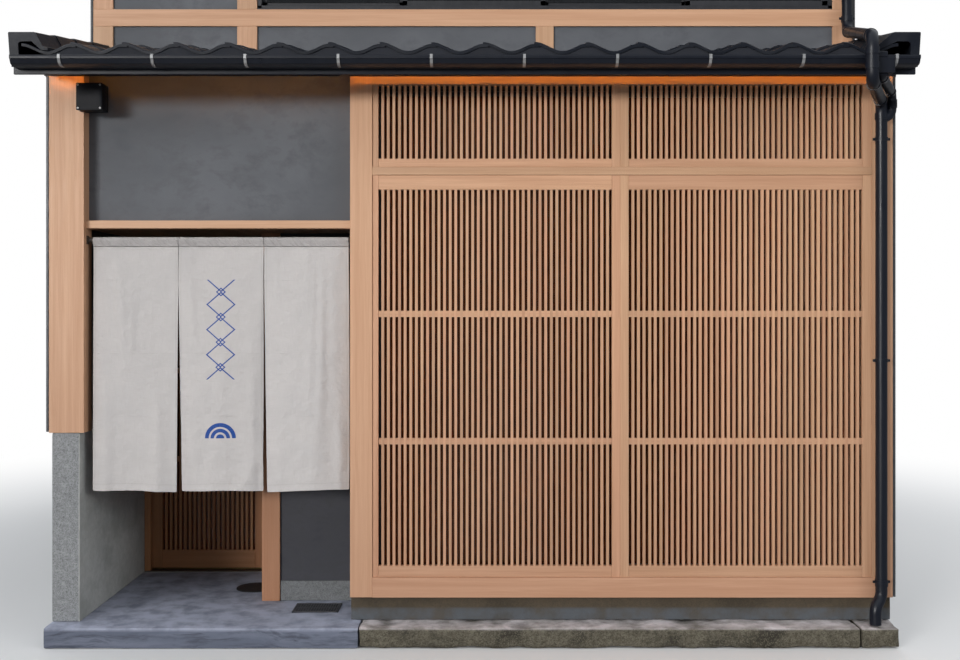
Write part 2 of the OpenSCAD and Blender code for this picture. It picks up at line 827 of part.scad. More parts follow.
// Gutter whose back stands at y and whose top is at z
module gutter(y, z) {
    front = y - gutter_w;
    outside = concat([[y, z]], gutter_side(y, z, 0), [[front, z - gutter_lip_h], [front, z]]);
    lip = [
        [front + 3 * gutter_t, z], [front + 3 * gutter_t, z - gutter_t],
        [front + gutter_lip_out + gutter_t, z - gutter_t]
    ];
    along_x(gutter_x0, gutter_x1,
        concat(outside, lip, reversed(gutter_side(y, z, gutter_t)), [[y - gutter_t, z]]));
    for (x = [gutter_x0, gutter_x1 - gutter_t]) along_x(x, x + gutter_t, outside);
}

// Mirrors the front half of the main roof to the back
module to_back() {
    translate([0, 2 * ridge_y, 0]) mirror([0, 1, 0]) children();
}

module gutters() {
    color("black") {
        gutter(pent_eave, pent_gutter_z);
        gutter(main_eave, main_gutter_z);
        to_back() gutter(main_eave, main_gutter_z);
    }
}

hanger_first = 239;
hanger_pitch = (gutter_x1 - gutter_x0 - hanger_first - 125) / (hanger_count - 1);

// Straps over a gutter, each bent down its front and under its cut corner
module hangers(y, z) {
    front = y - gutter_w;
    side = gutter_side(y, z, 0);
    t = hanger_t;
    for (i = [0 : hanger_count - 1]) {
        x = gutter_x0 + hanger_first + i * hanger_pitch;
        along_x(x, x + hanger_w, [
            [y, z], [y, z + t], [front - t, z + t], [front - t, z - gutter_lip_h - t],
            side[2] + [-t, -t], side[1] + [0, -t], side[1], side[2],
            [front, z - gutter_lip_h], [front, z]
        ]);
    }
}

module gutter_hangers() {
    color("silver") {
        hangers(pent_eave, pent_gutter_z);
        hangers(main_eave, main_gutter_z);
        to_back() hangers(main_eave, main_gutter_z);
    }
}

bend_steps = 5;
pipe_sides = 16;
function unit(v) = v / norm(v);
function bezier(a, b, c, t) = (1 - t) * (1 - t) * a + 2 * t * (1 - t) * b + t * t * c;
function rounded(p, r) = concat([p[0]], [for (i = [1 : len(p) - 2]) for (k = [0 : bend_steps])
    let (before = p[i - 1] - p[i], after = p[i + 1] - p[i],
        reach = min(r, 0.48 * norm(before), 0.48 * norm(after)))
    bezier(p[i] + reach * unit(before), p[i], p[i] + reach * unit(after), k / bend_steps)],
    [p[len(p) - 1]]);

// Round pipe along a route whose corners are swept bends
module pipe(route, r) {
    path = rounded(route, 1.9 * r);
    last = len(path) - 1;
    n = pipe_sides;
    points = [for (i = [0 : last])
        let (t = unit(path[min(i + 1, last)] - path[max(i - 1, 0)]),
            u = unit(cross(t, [1, 0, 0])), v = cross(t, u))
        for (j = [0 : n - 1])
            path[i] + r * cos(j * 360 / n) * u + r * sin(j * 360 / n) * v];
    sides = [for (i = [0 : last - 1]) for (j = [0 : n - 1])
        [i * n + j, (i + 1) * n + j, (i + 1) * n + (j + 1) % n, i * n + (j + 1) % n]];
    ends = [[for (j = [0 : n - 1]) j], [for (j = [n - 1 : -1 : 0]) last * n + j]];
    polyhedron(points, concat(sides, ends));
}

// Band round a pipe with a narrow arm back to the wall
module pipe_clip(x, y, wall, z) {
    w = pipe_d + 8;
    box(x - 10, x + 10, y, wall, z, z + 18);
    translate([x, y, z]) cylinder(d = w, h = 18);
}

pipe_r = pipe_d / 2;
pipe_wall_y = -pipe_gap - pipe_r;
pipe_up_y = setback - pipe_gap - pipe_r;
pipe_up_x = x_right - pipe_up_in;
pipe_over_x = x_right - pipe_over_in;
pipe_down_x = x_right - pipe_down_in;
pipe_foot_x = x_right - pipe_foot_in;
pipe_front_y = pent_eave - gutter_w - hopper_t - pipe_r;
hopper_x = x_right - hopper_in;
pent_gutter_low = pent_gutter_z - gutter_h;
main_gutter_low = main_gutter_z - gutter_h;
pipe_roof_z = pent_top(setback) + hood_h + pipe_r + 42;

// Downpipe from the main gutter over the pent roof to the kerb, and the pent gutter's
// hopper and pipe, which join it
module downpipes() {
    main_mid_y = main_eave - gutter_w / 2;
    apron_y = pent_eave - gutter_w - hopper_t;
    hopper_y = apron_y + hopper_d / 2;
    hopper_z = pent_gutter_low - hopper_h;
    hopper_x0 = hopper_x - hopper_w / 2;
    hopper_x1 = hopper_x + hopper_w / 2;
    short_r = pipe_r - 6;
    side_x = x_right - short_r;
    color("black") {
        pipe([
            [pipe_up_x, main_mid_y, main_gutter_low],
            [pipe_up_x, main_mid_y, main_gutter_low - 110],
            [pipe_up_x, pipe_up_y, main_gutter_low - 380],
            [pipe_up_x, pipe_up_y, pipe_roof_z],
            [pipe_over_x, pipe_front_y, pent_top(pent_tip) + wave_h + tile_t + 5],
            [pipe_over_x, pipe_front_y, pent_gutter_low - 90],
            [pipe_down_x, pipe_wall_y, pent_gutter_low - 102],
            [pipe_down_x, pipe_wall_y, plinth_h + 148],
            [pipe_foot_x, pipe_wall_y - 30, plinth_h + 100],
            [pipe_foot_x, pipe_wall_y - 30, plinth_h + 8]
        ], pipe_r);
        pipe([
            [hopper_x, hopper_y, pent_gutter_low - 3], [hopper_x, hopper_y, hopper_z - 5],
            [side_x, pipe_wall_y, hopper_z - 12], [side_x, pipe_wall_y, hopper_z - 125],
            [pipe_down_x, pipe_wall_y, hopper_z - 155]
        ], short_r);
        box(hopper_x0, hopper_x1, apron_y, apron_y + hopper_d, hopper_z, pent_gutter_low);
        box(hopper_x0, hopper_x1, apron_y, pent_eave - gutter_w, hopper_z,
            pent_gutter_z - hopper_rise);
        box(hopper_x0, hopper_x0 + hopper_rise_w, apron_y, pent_eave - gutter_w, hopper_z,
            pent_gutter_z + hopper_rise);
        pipe_clip(pipe_down_x, pipe_wall_y, 0, z_transom + 133);
        pipe_clip(pipe_down_x, pipe_wall_y, 0, (z_transom + z_sill) / 2 + 57);
        pipe_clip(pipe_down_x, pipe_wall_y, 0, z_sill - 19);
        pipe_clip(pipe_up_x, pipe_up_y, setback, z_up_sill - 110);
        pipe_clip(pipe_up_x, pipe_up_y, setback, z_up_head);
    }
}

// Middle of the short stud under the upper window
x_stud = (x_up_window + x_up_right - stud_w) / 2;
plate_h = upper_beam_h + 18;

// Posts and beams of the upper front
module upper_front_frame() {
    color("burlywood") {
        for (x = [x_left, x_up_post, x_up_right]) {
            box(x, x + upper_post, setback, upper_y, z_floor, z_plate);
        }
        for (z = [z_up_sill - upper_beam_h, z_up_head]) {
            box(x_left, x_right, setback, upper_y, z, z + upper_beam_h);
        }
        box(x_left, x_right, setback, upper_y, z_floor, z_ledger);
        box(x_left, x_right, setback, upper_y, z_plate - plate_h, z_plate);
        box(x_stud, x_stud + stud_w, setback, upper_y, z_ledger, z_up_sill - upper_beam_h);
        box(x_stud, x_stud + stud_w, setback, upper_y, z_up_head, z_plate);
    }
}

// Grey plaster between the upper posts
module upper_plaster() {
    y0 = setback + plaster_in;
    y1 = y0 + plaster_t;
    x1 = x_left + upper_post;
    low = z_up_sill - upper_beam_h;
    high = z_up_head + upper_beam_h;
    top = z_plate - plate_h;
    color("dimgray") {
        box(x1, x_up_post, y0, y1, z_ledger, low);
        box(x1, x_up_post, y0, y1, z_up_sill, z_up_head);
        box(x1, x_up_post, y0, y1, high, top);
        for (z = [[z_ledger, low], [high, top]]) {
            box(x_up_window, x_stud, y0, y1, z[0], z[1]);
            box(x_stud + stud_w, x_up_right, y0, y1, z[0], z[1]);
        }
    }
}

module upper_floor() {
    color("peru")
        box(x_in_left, x_in_right, setback, house_d - upper_post, z_floor - floor_t, z_floor);
}

// Back windows: their left edge, and the sill heights of the two storeys
x_back_win = -back_window_w / 2;
back_sills = [plinth_h + back_sill_h, z_up_sill];
bay_win_y = post_d - sash_d;
upper_win_y = setback + 10;
back_win_y = house_d - 10 - sash_d;

// Each window: left, right, front face, sill, head and number of lights
WINDOWS = [
    [x_bay, x_post_r, bay_win_y, z_sill, z_head, 2],
    [x_up_window, x_up_right, upper_win_y, z_up_sill, z_up_head, 4],
    [x_back_win, -x_back_win, back_win_y, back_sills[0], back_sills[0] + back_window_h, 2],
    [x_back_win, -x_back_win, back_win_y, back_sills[1], back_sills[1] + back_window_h, 2]
];

module window_frames() {
    color("black") for (w = WINDOWS) {
        y1 = w[2] + sash_d;
        step = (w[1] - w[0] - sash_w) / w[5];
        for (i = [0 : w[5]]) {
            box(w[0] + i * step, w[0] + i * step + sash_w, w[2], y1, w[3], w[4]);
        }
        box(w[0], w[1], w[2], y1, w[3], w[3] + sash_w);
        box(w[0], w[1], w[2], y1, w[4] - sash_w, w[4]);
    }
}

module window_glass() {
    color("lightcyan") for (w = WINDOWS) {
        y = w[2] + (sash_d - glass_t) / 2;
        step = (w[1] - w[0] - sash_w) / w[5];
        for (i = [0 : w[5] - 1]) {
            x = w[0] + i * step + sash_w;
            box(x, x + step - sash_w, y, y + glass_t, w[3] + sash_w, w[4] - sash_w);
        }
    }
}

// Party wall: under the pent roof, under the upper front, then up to the main roof
y_back_post = house_d - upper_post;
party_top = [
    [post_d, pent_under(post_d)], [setback, pent_under(setback)], [setback, z_floor],
    [upper_y, z_floor], [upper_y, main_boards(upper_y)], [ridge_y, main_boards(ridge_y)],
    [y_back_post, main_boards(y_back_post)], [y_back_post, plinth_h]
];

// The left party wall stands on the low wall as far back as the door
module party_wall_left() {
    color("gray") along_x(x_left, x_in_left, concat(party_top,
        [[door_y, plinth_h], [door_y, z_low_wall], [post_d, z_low_wall]]));
}

module party_wall_right() {
    base_back = base_recess + base_t;
    y = max(post_d, base_back);
    color("gray") along_x(x_in_right, x_right, concat(party_top,
        [[y, plinth_h], [y, z_base], [post_d, z_base]]));
}

// Posts and beams of the back, with a window bay in each storey
module back_frame() {
    x_inner_post = -x_back_win;
    sill_drop = upper_beam_h;
    color("burlywood") {
        for (x = [x_left, x_back_win - upper_post, x_inner_post, x_right - upper_post]) {
            box(x, x + upper_post, y_back_post, house_d, plinth_h, z_plate);
        }
        box(x_left, x_right, y_back_post, house_d, z_floor - floor_t, z_floor);
        box(x_left, x_right, y_back_post, house_d, z_plate - plate_h, z_plate);
        for (z = back_sills) {
            box(x_back_win, x_inner_post, y_back_post, house_d, z - sill_drop, z);
            box(x_back_win, x_inner_post, y_back_post, house_d,
                z + back_window_h, z + back_window_h + sill_drop);
        }
    }
}

// Plaster between the back posts and above and below the back windows
module back_wall() {
    y1 = house_d - plaster_in;
    y0 = y1 - back_t;
    x1 = x_left + upper_post;
    storeys = [[plinth_h, z_floor - floor_t], [z_floor, z_plate - plate_h]];
    color("dimgray") for (s = [0, 1]) {
        sill = back_sills[s];
        head = sill + back_window_h;
        box(x1, x_back_win - upper_post, y0, y1, storeys[s][0], storeys[s][1]);
        box(-x_back_win + upper_post, -x1, y0, y1, storeys[s][0], storeys[s][1]);
        box(x_back_win, -x_back_win, y0, y1, storeys[s][0], sill - upper_beam_h);
        box(x_back_win, -x_back_win, y0, y1, head + upper_beam_h, storeys[s][1]);
    }
}

// Ridge beam and purlins between the party walls, and the rafter ends at both eaves
module roof_frame() {
    half = purlin_w / 2;
    color("peru") {
        along_x(x_in_left, x_in_right, [
            [ridge_y - half, main_boards(ridge_y) - purlin_h],
            [ridge_y + half, main_boards(ridge_y) - purlin_h],
            [ridge_y + half, main_boards(ridge_y + half)], [ridge_y, main_boards(ridge_y)],
            [ridge_y - half, main_boards(ridge_y - half)]
        ]);
        for (k = [1, 2]) {
            y = upper_y + k * (ridge_y - upper_y) / 3;
            purlin(y);
            to_back() purlin(y);
        }
        for (i = [0 : rafter_count - 1]) {
            eave_rafter(rafter_x(i) - rafter_w / 2);
            to_back() eave_rafter(rafter_x(i) - rafter_w / 2);
        }
    }
}

module purlin(y) {
    half = purlin_w / 2;
    along_x(x_in_left, x_in_right, [
        [y - half, main_boards(y - half) - purlin_h], [y + half, main_boards(y - half) - purlin_h],
        [y + half, main_boards(y + half)], [y - half, main_boards(y - half)]
    ]);
}

module eave_rafter(x) {
    y0 = main_eave + fascia_t;
    along_x(x, x + rafter_w, [
        [y0, main_under(y0)], [upper_y, main_under(upper_y)],
        [upper_y, main_boards(upper_y)], [y0, main_boards(y0)]
    ]);
}

// Boards of both slopes, with a fascia at each eave
module main_roof_deck() {
    z0 = main_boards(main_eave);
    y1 = main_eave + fascia_t;
    back = main_back - fascia_t;
    color("saddlebrown") along_x(roof_left + verge_t, roof_right - verge_t, [
        [main_eave, z0 - fascia_h], [y1, z0 - fascia_h], [y1, main_boards(y1) + seat],
        [ridge_y, main_boards(ridge_y) + seat], [back, main_boards(back) + seat],
        [back, z0 - fascia_h], [main_back, z0 - fascia_h],
        [main_back, main_top(main_back) - seat], [ridge_y, main_top(ridge_y) - seat],
        [main_eave, main_top(main_eave) - seat]
    ]);
}

main_length = (ridge_y - ridge_w / 2 - main_tip) / cos(main_a);

module main_roof_tiles() {
    color("darkslateblue") {
        wave_sheet(main_tip, main_top(main_tip), main_a, main_length);
        to_back() wave_sheet(main_tip, main_top(main_tip), main_a, main_length);
    }
}

module main_verges() {
    color("darkslateblue") {
        verge_pair(main_tip, main_top(main_tip), main_a, main_length, roof_right);
        to_back() verge_pair(main_tip, main_top(main_tip), main_a, main_length, roof_right);
    }
}

// Ridge of stacked tiles under a round cap
module main_ridge() {
    half = ridge_w / 2;
    z0 = main_top(ridge_y);
    z1 = z0 + ridge_h;
    cap = half * 0.62;
    arc = [for (a = [0 : 20 : 180]) [ridge_y + cap * cos(a), z1 - cap + cap * sin(a)]];
    color("darkslateblue") along_x(roof_left, roof_right, concat([
        [ridge_y, z0], [ridge_y + half, main_top(ridge_y + half)], [ridge_y + half, z0 + 110],
        [ridge_y + half - 12, z0 + 110], [ridge_y + half - 12, z1 - cap]
    ], arc, [
        [ridge_y - half + 12, z1 - cap], [ridge_y - half + 12, z0 + 110],
        [ridge_y - half, z0 + 110], [ridge_y - half, main_top(ridge_y - half)]
    ]));
}

ground_slab();
entry_step();
front_kerb();
base_walls();
low_wall();
front_posts();
junction_box();
lattice_frame();
lattice_upper_left();
lattice_upper_right();
lattice_lower_left();
lattice_lower_right();
entry_panel();
entry_lintel();
inner_post();
entry_side_panel();
porch_side_wall();
alcove_side_wall();
door_wall();
porch_ceiling();
door_frame();
entrance_door();
entrance_door_glass();
curtain_pole();
curtain_left();
curtain_middle();
curtain_right();
pent_rafters();
pent_deck();
pent_tiles();
pent_verges();
gutters();
gutter_hangers();
downpipes();
upper_front_frame();
upper_plaster();
upper_floor();
window_frames();
window_glass();
party_wall_left();
party_wall_right();
back_frame();
back_wall();
roof_frame();
main_roof_deck();
main_roof_tiles();
main_verges();
main_ridge();
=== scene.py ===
import math
import random

import bpy
import numpy as np
from mathutils import Matrix, Vector, noise


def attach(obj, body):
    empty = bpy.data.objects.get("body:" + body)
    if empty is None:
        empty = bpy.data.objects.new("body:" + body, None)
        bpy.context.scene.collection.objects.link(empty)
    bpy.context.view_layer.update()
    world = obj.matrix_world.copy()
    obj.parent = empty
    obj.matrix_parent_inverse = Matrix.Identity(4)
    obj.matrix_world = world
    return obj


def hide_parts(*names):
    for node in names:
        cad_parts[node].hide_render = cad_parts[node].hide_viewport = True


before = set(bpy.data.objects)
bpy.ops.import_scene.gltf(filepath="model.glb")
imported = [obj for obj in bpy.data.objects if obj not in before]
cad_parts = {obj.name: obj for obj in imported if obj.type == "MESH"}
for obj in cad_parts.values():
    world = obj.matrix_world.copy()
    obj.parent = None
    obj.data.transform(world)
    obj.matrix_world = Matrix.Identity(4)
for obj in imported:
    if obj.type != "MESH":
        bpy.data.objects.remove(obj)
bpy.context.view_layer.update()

# Camera, pale floor and soft light. The camera stands 6.1 m from the front, level, at a
# standing person's eye height, as in the photograph.
scene = bpy.context.scene
camera_data = bpy.data.cameras.new("camera")
camera_data.sensor_width = 36
camera_data.lens = 42.2
camera_data.shift_x = -10 / 960
camera_data.shift_y = -24 / 960
camera_data.clip_end = 200
camera = bpy.data.objects.new("camera", camera_data)
camera.location = (0.1038, -6.1, 1.822)
camera.rotation_euler = (math.radians(90), 0, 0)
scene.collection.objects.link(camera)
scene.camera = camera
scene.view_settings.view_transform = "Standard"


def wire(tree, kind, inputs=None, **settings):
    """Adds a node; inputs maps socket names or numbers to values or to sockets."""
    made = tree.nodes.new(kind)
    for key, value in settings.items():
        setattr(made, key, value)
    for key, value in (inputs or {}).items():
        if isinstance(value, bpy.types.NodeSocket):
            tree.links.new(value, made.inputs[key])
        else:
            made.inputs[key].default_value = value
    return made


def lamp(name, place, target, size, watts, colour=(1, 1, 1), beam=180, glossy=False):
    light = bpy.data.lights.new(name, "AREA")
    light.shape = "RECTANGLE"
    light.size, light.size_y = size
    light.energy = watts
    light.color = colour
    light.spread = math.radians(beam)
    made = bpy.data.objects.new(name, light)
    made.location = place
    made.rotation_euler = (Vector(target) - Vector(place)).to_track_quat("-Z", "Y").to_euler()
    made.visible_glossy = glossy
    scene.collection.objects.link(made)


world = bpy.data.worlds.new("studio")
scene.world = world
world.use_nodes = True
tree = world.node_tree
tree.nodes.clear()
rays = wire(tree, "ShaderNodeLightPath")
seen = wire(tree, "ShaderNodeMath", {0: rays.outputs["Is Camera Ray"],
            1: rays.outputs["Is Transmission Ray"]}, operation="MAXIMUM")
up = wire(tree, "ShaderNodeSeparateXYZ", {0: wire(tree, "ShaderNodeTexCoord").outputs[0]})
up = wire(tree, "ShaderNodeMapRange", {0: up.outputs[2], 1: 0.05, 2: 0.75, 3: 0.2, 4: 1.05},
          interpolation_type="SMOOTHSTEP")
soft = wire(tree, "ShaderNodeBackground", {"Color": (0.93, 0.96, 1.0, 1),
            "Strength": up.outputs[0]})
white = wire(tree, "ShaderNodeBackground", {"Color": (1, 1, 1, 1), "Strength": 1.0})
mixed = wire(tree, "ShaderNodeMixShader", {0: seen.outputs[0], 1: soft.outputs[0],
             2: white.outputs[0]})
wire(tree, "ShaderNodeOutputWorld", {0: mixed.outputs[0]})

lamp("key", (-13.0, -20.0, 5.0), (2.0, 0, 2.4), (9, 3.0), 222, (1.0, 0.985, 0.965), 38, True)
lamp("fill", (13.0, -9.0, 4.4), (0, 0, 1.7), (6, 2.4), 480, (0.97, 0.985, 1.0))
lamp("rear", (3.0, 17.0, 10.0), (0, 5, 3), (8, 6), 900)

floor_mesh = bpy.data.meshes.new("floor")
floor_mesh.from_pydata([(x, y, -0.001) for x, y in ((-60, -60), (60, -60), (60, 60), (-60, 60))],
                       [], [(0, 1, 2, 3)])
floor = bpy.data.objects.new("floor", floor_mesh)
scene.collection.objects.link(floor)
pale = bpy.data.materials.new("pale_floor")
pale.use_nodes = True
tree = pale.node_tree
floor_look = tree.nodes["Principled BSDF"]
direct = wire(tree, "ShaderNodeLightPath").outputs["Is Camera Ray"]
shown = wire(tree, "ShaderNodeMix", {0: direct, 6: (0.26, 0.257, 0.255, 1),
             7: (0.78, 0.78, 0.775, 1)}, data_type="RGBA")
tree.links.new(shown.outputs[2], floor_look.inputs["Base Color"])
floor_look.inputs["Roughness"].default_value = 0.9
floor_look.inputs["Specular IOR Level"].default_value = 0.1
away = wire(tree, "ShaderNodeVectorMath", {
    0: wire(tree, "ShaderNodeTexCoord").outputs["Object"], 1: (0, -2.6, 0)}, operation="ADD")
away = wire(tree, "ShaderNodeVectorMath", {0: away.outputs[0]}, operation="LENGTH")
away = wire(tree, "ShaderNodeMapRange", {0: away.outputs["Value"], 1: 3.6, 2: 7.5},
            interpolation_type="SMOOTHSTEP")
away = wire(tree, "ShaderNodeMath", {0: away.outputs[0], 1: direct}, operation="MULTIPLY")
backdrop = wire(tree, "ShaderNodeEmission", {"Strength": 1.0})
faded = wire(tree, "ShaderNodeMixShader", {0: away.outputs[0], 1: floor_look.outputs[0],
             2: backdrop.outputs[0]})
tree.links.new(faded.outputs[0], tree.nodes["Material Output"].inputs["Surface"])
floor_mesh.materials.append(pale)

# Ground slab, entrance step and kerb: cast and trowelled on site. The step and the porch
# floor are one mass of bluish grey mortar; the old kerb beside it is worn, mossy concrete.
OUTER, STEP_X0, STEP_X1, STEP_Y, STEP_Z = 2288, -2272, -598, 1150, 110
CORNERS = [(x, y, z) for x in (-1, 1) for y in (-1, 1) for z in (-1, 1)]


def chamfered_box():
    """Signs, insets and faces of a box whose edges are cut off."""
    signs, insets = [], []
    for corner in CORNERS:
        for axis in range(3):
            signs.append(corner)
            insets.append([0 if k == axis else 1 for k in range(3)])
    sharp = np.array(signs) * (1 - 0.2 * np.array(insets))
    index = {(c, a): 3 * i + a for i, c in enumerate(CORNERS) for a in range(3)}
    faces = []
    for a in range(3):
        b, c = (a + 1) % 3, (a + 2) % 3
        for s in (-1, 1):
            ring = []
            for t, u in ((-1, -1), (1, -1), (1, 1), (-1, 1)):
                corner = [0, 0, 0]
                corner[a], corner[b], corner[c] = s, t, u
                ring.append(index[tuple(corner), a])
            faces.append(ring)
        for t, u in ((-1, -1), (1, -1), (1, 1), (-1, 1)):
            low, high = [0, 0, 0], [0, 0, 0]
            low[a], high[a] = -1, 1
            low[b] = high[b] = t
            low[c] = high[c] = u
            low, high = tuple(low), tuple(high)
            faces.append([index[low, b], index[high, b], index[high, c], index[low, c]])
    faces += [[index[corner, a] for a in range(3)] for corner in CORNERS]
    for face in faces:
        p = sharp[face]
        if np.dot(np.cross(p[1] - p[0], p[2] - p[0]), p.mean(0)) < 0:
            face.reverse()
    return np.array(signs, float), np.array(insets, float), faces


BOX_SIGNS, BOX_INSETS, BOX_FACES = chamfered_box()


def tilt(angle, y, z):
    """Turn about the line through (y, z) that runs along the house's front."""
    return (Matrix.Translation((0, y, z)) @ Matrix.Rotation(angle, 4, "X")
            @ Matrix.Translation((0, -y, -z)))


class Joinery:
    """Collects the parts of one piece, in millimetres, each with its grain and tone."""

    def __init__(self, seed):
        self.points, self.faces, self.grain, self.tone, self.smooth = [], [], [], [], []
        self.count = 0
        self.draw = random.Random(seed)

    def add(self, points, faces, grain=None, tone=None, smooth=False):
        points = np.asarray(points, float)
        shift = np.array([self.draw.uniform(0, 9) for _ in range(3)])
        self.grain.append((points * 0.001 if grain is None else grain) + shift)
        tone = self.draw.random() if tone is None else tone
        self.tone.append(np.ones(len(points)) * tone)
        self.points.append(points)
        self.faces += [[i + self.count for i in face] for face in faces]
        self.smooth += [smooth] * len(faces)
        self.count += len(points)

    def plank(self, x0, x1, y0, y1, z0, z1, chamfer=1.5, along=None, turn=None, cut=0,
              tone=None):
        """A squared timber. Its grain runs along its longest side; cut slopes its top."""
        low, high = np.array([x0, y0, z0], float), np.array([x1, y1, z1], float)
        half = (high - low) / 2
        inset = min(chamfer, 0.4 * half.min())
        local = BOX_SIGNS * (half - inset * BOX_INSETS)
        points = local + (low + high) / 2
        if cut:
            points[:, 2] += np.where(local[:, 2] > 0, cut * (points[:, 1] - y0), 0)
        if turn is not None:
            turn = np.array(turn)
            points = points @ turn[:3, :3].T + turn[:3, 3]
        axis = int(np.argmax(half)) if along is None else along
        grain = local[:, [axis, (axis + 1) % 3, (axis + 2) % 3]] * 0.001
        self.add(points, BOX_FACES, grain, tone)

    def planks(self, *boxes, **same):
        """Several timbers cut alike, each given by its six faces."""
        for box in boxes:
            self.plank(*box, **same)
        return self

    def done(self, name, look, slot, body="house"):
        """Makes the object, in metres, and rides it on its body. It stands for the node of
        its name, where the frame has one."""
        mesh = bpy.data.meshes.new(name)
        mesh.from_pydata((np.concatenate(self.points) * 0.001).tolist(), [], self.faces)
        mesh.polygons.foreach_set("use_smooth", self.smooth)
        if any(self.smooth):
            mesh.set_sharp_from_angle(angle=math.radians(38))
        grain = mesh.attributes.new("grain", "FLOAT_VECTOR", "POINT")
        grain.data.foreach_set("vector", np.concatenate(self.grain).ravel())
        tone = mesh.attributes.new("tone", "FLOAT", "POINT")
        tone.data.foreach_set("value", np.concatenate(self.tone))
        mesh.materials.append(look)
        made = bpy.data.objects.new(name, mesh)
        scene.collection.objects.link(made)
        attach(made, body)
        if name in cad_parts:
            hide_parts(name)
        return made


def blend_of(tree, factor, a, b, mode="MIX"):
    """Colour b over colour a by a factor."""
    return wire(tree, "ShaderNodeMix", {0: factor, 6: a, 7: b}, data_type="RGBA",
                blend_type=mode).outputs[2]


def sum_of(tree, kind, a, b=0.0):
    """Result of one arithmetic step."""
    return wire(tree, "ShaderNodeMath", {0: a, 1: b}, operation=kind).outputs[0]


def times(tree, a, b):
    return sum_of(tree, "MULTIPLY", a, b)


def plus(tree, a, b):
    return sum_of(tree, "ADD", a, b)


def vector_of(tree, kind, a, b):
    """Result of one arithmetic step on vectors."""
    return wire(tree, "ShaderNodeVectorMath", {0: a, 1: b}, operation=kind).outputs[0]


def place_of(tree):
    """Where a point of the house lies, in metres."""
    return wire(tree, "ShaderNodeTexCoord").outputs["Object"]


def axis_of(tree, vector, axis):
    return wire(tree, "ShaderNodeSeparateXYZ", {0: vector}).outputs[axis]


def spread(tree, value, low, high, new_low=0.0, new_high=1.0):
    """Maps a range of values to another, held at both ends."""
    return wire(tree, "ShaderNodeMapRange", {0: value, 1: low, 2: high, 3: new_low,
                4: new_high}).outputs[0]


def cloud(tree, vector, scale, detail=3.0, rough=0.5, stretch=None):
    """Noise over the surface, stretched along each axis where asked."""
    if stretch:
        vector = wire(tree, "ShaderNodeMapping", {"Vector": vector, "Scale": stretch}).outputs[0]
    return wire(tree, "ShaderNodeTexNoise", {"Vector": vector, "Scale": scale,
                "Detail": detail, "Roughness": rough}).outputs[0]


NUMBER, COLOUR, VECTOR = "NodeSocketFloat", "NodeSocketColor", "NodeSocketVector"
MINERAL = [("Vector", VECTOR, None), ("Base", COLOUR, (1, 1, 1, 1)),
           ("Pale", COLOUR, (1, 1, 1, 1)), ("Dark", COLOUR, (0, 0, 0, 1))]
SURFACE = [("Color", COLOUR), ("Roughness", NUMBER), ("Height", NUMBER)]


def effect(name, inputs, outputs=SURFACE):
    """An empty node group with named inputs and outputs."""
    made = bpy.data.node_groups.new(name, "ShaderNodeTree")
    for label, kind, value in inputs:
        socket = made.interface.new_socket(label, in_out="INPUT", socket_type=kind)
        if value is not None:
            socket.default_value = value
    for label, kind in outputs:
        made.interface.new_socket(label, in_out="OUTPUT", socket_type=kind)
    return made, made.nodes.new("NodeGroupInput").outputs, made.nodes.new("NodeGroupOutput")


def put_out(group, out, **values):
    """Joins each value to the group's output of that name."""
    for key, value in values.items():
        group.links.new(value, out.inputs[key])
    return group


def bare(name, **plain):
    """A material with its tree and its shader, whose plain values are set."""
    look = bpy.data.materials.new(name)
    look.use_nodes = True
    shader = look.node_tree.nodes["Principled BSDF"]
    for key, value in plain.items():
        shader.inputs[key.replace("_", " ")].default_value = value
    return look, look.node_tree, shader


def shade(name, **plain):
    """A bare material with the piece's own grain and tone."""
    look, tree, shader = bare(name, **plain)
    grain = wire(tree, "ShaderNodeAttribute", attribute_name="grain").outputs["Vector"]
    tone = wire(tree, "ShaderNodeAttribute", attribute_name="tone").outputs["Fac"]
    return look, tree, shader, grain, tone


def feed(tree, shader, colour, roughness, height=None, depth=0.0):
    """Joins a shader to its colour and roughness and, as a normal, to its relief."""
    tree.links.new(colour, shader.inputs["Base Color"])
    tree.links.new(roughness, shader.inputs["Roughness"])
    if height is not None:
        bump = wire(tree, "ShaderNodeBump", {"Height": height, "Distance": depth, "Strength": 1.0})
        tree.links.new(bump.outputs[0], shader.inputs["Normal"])


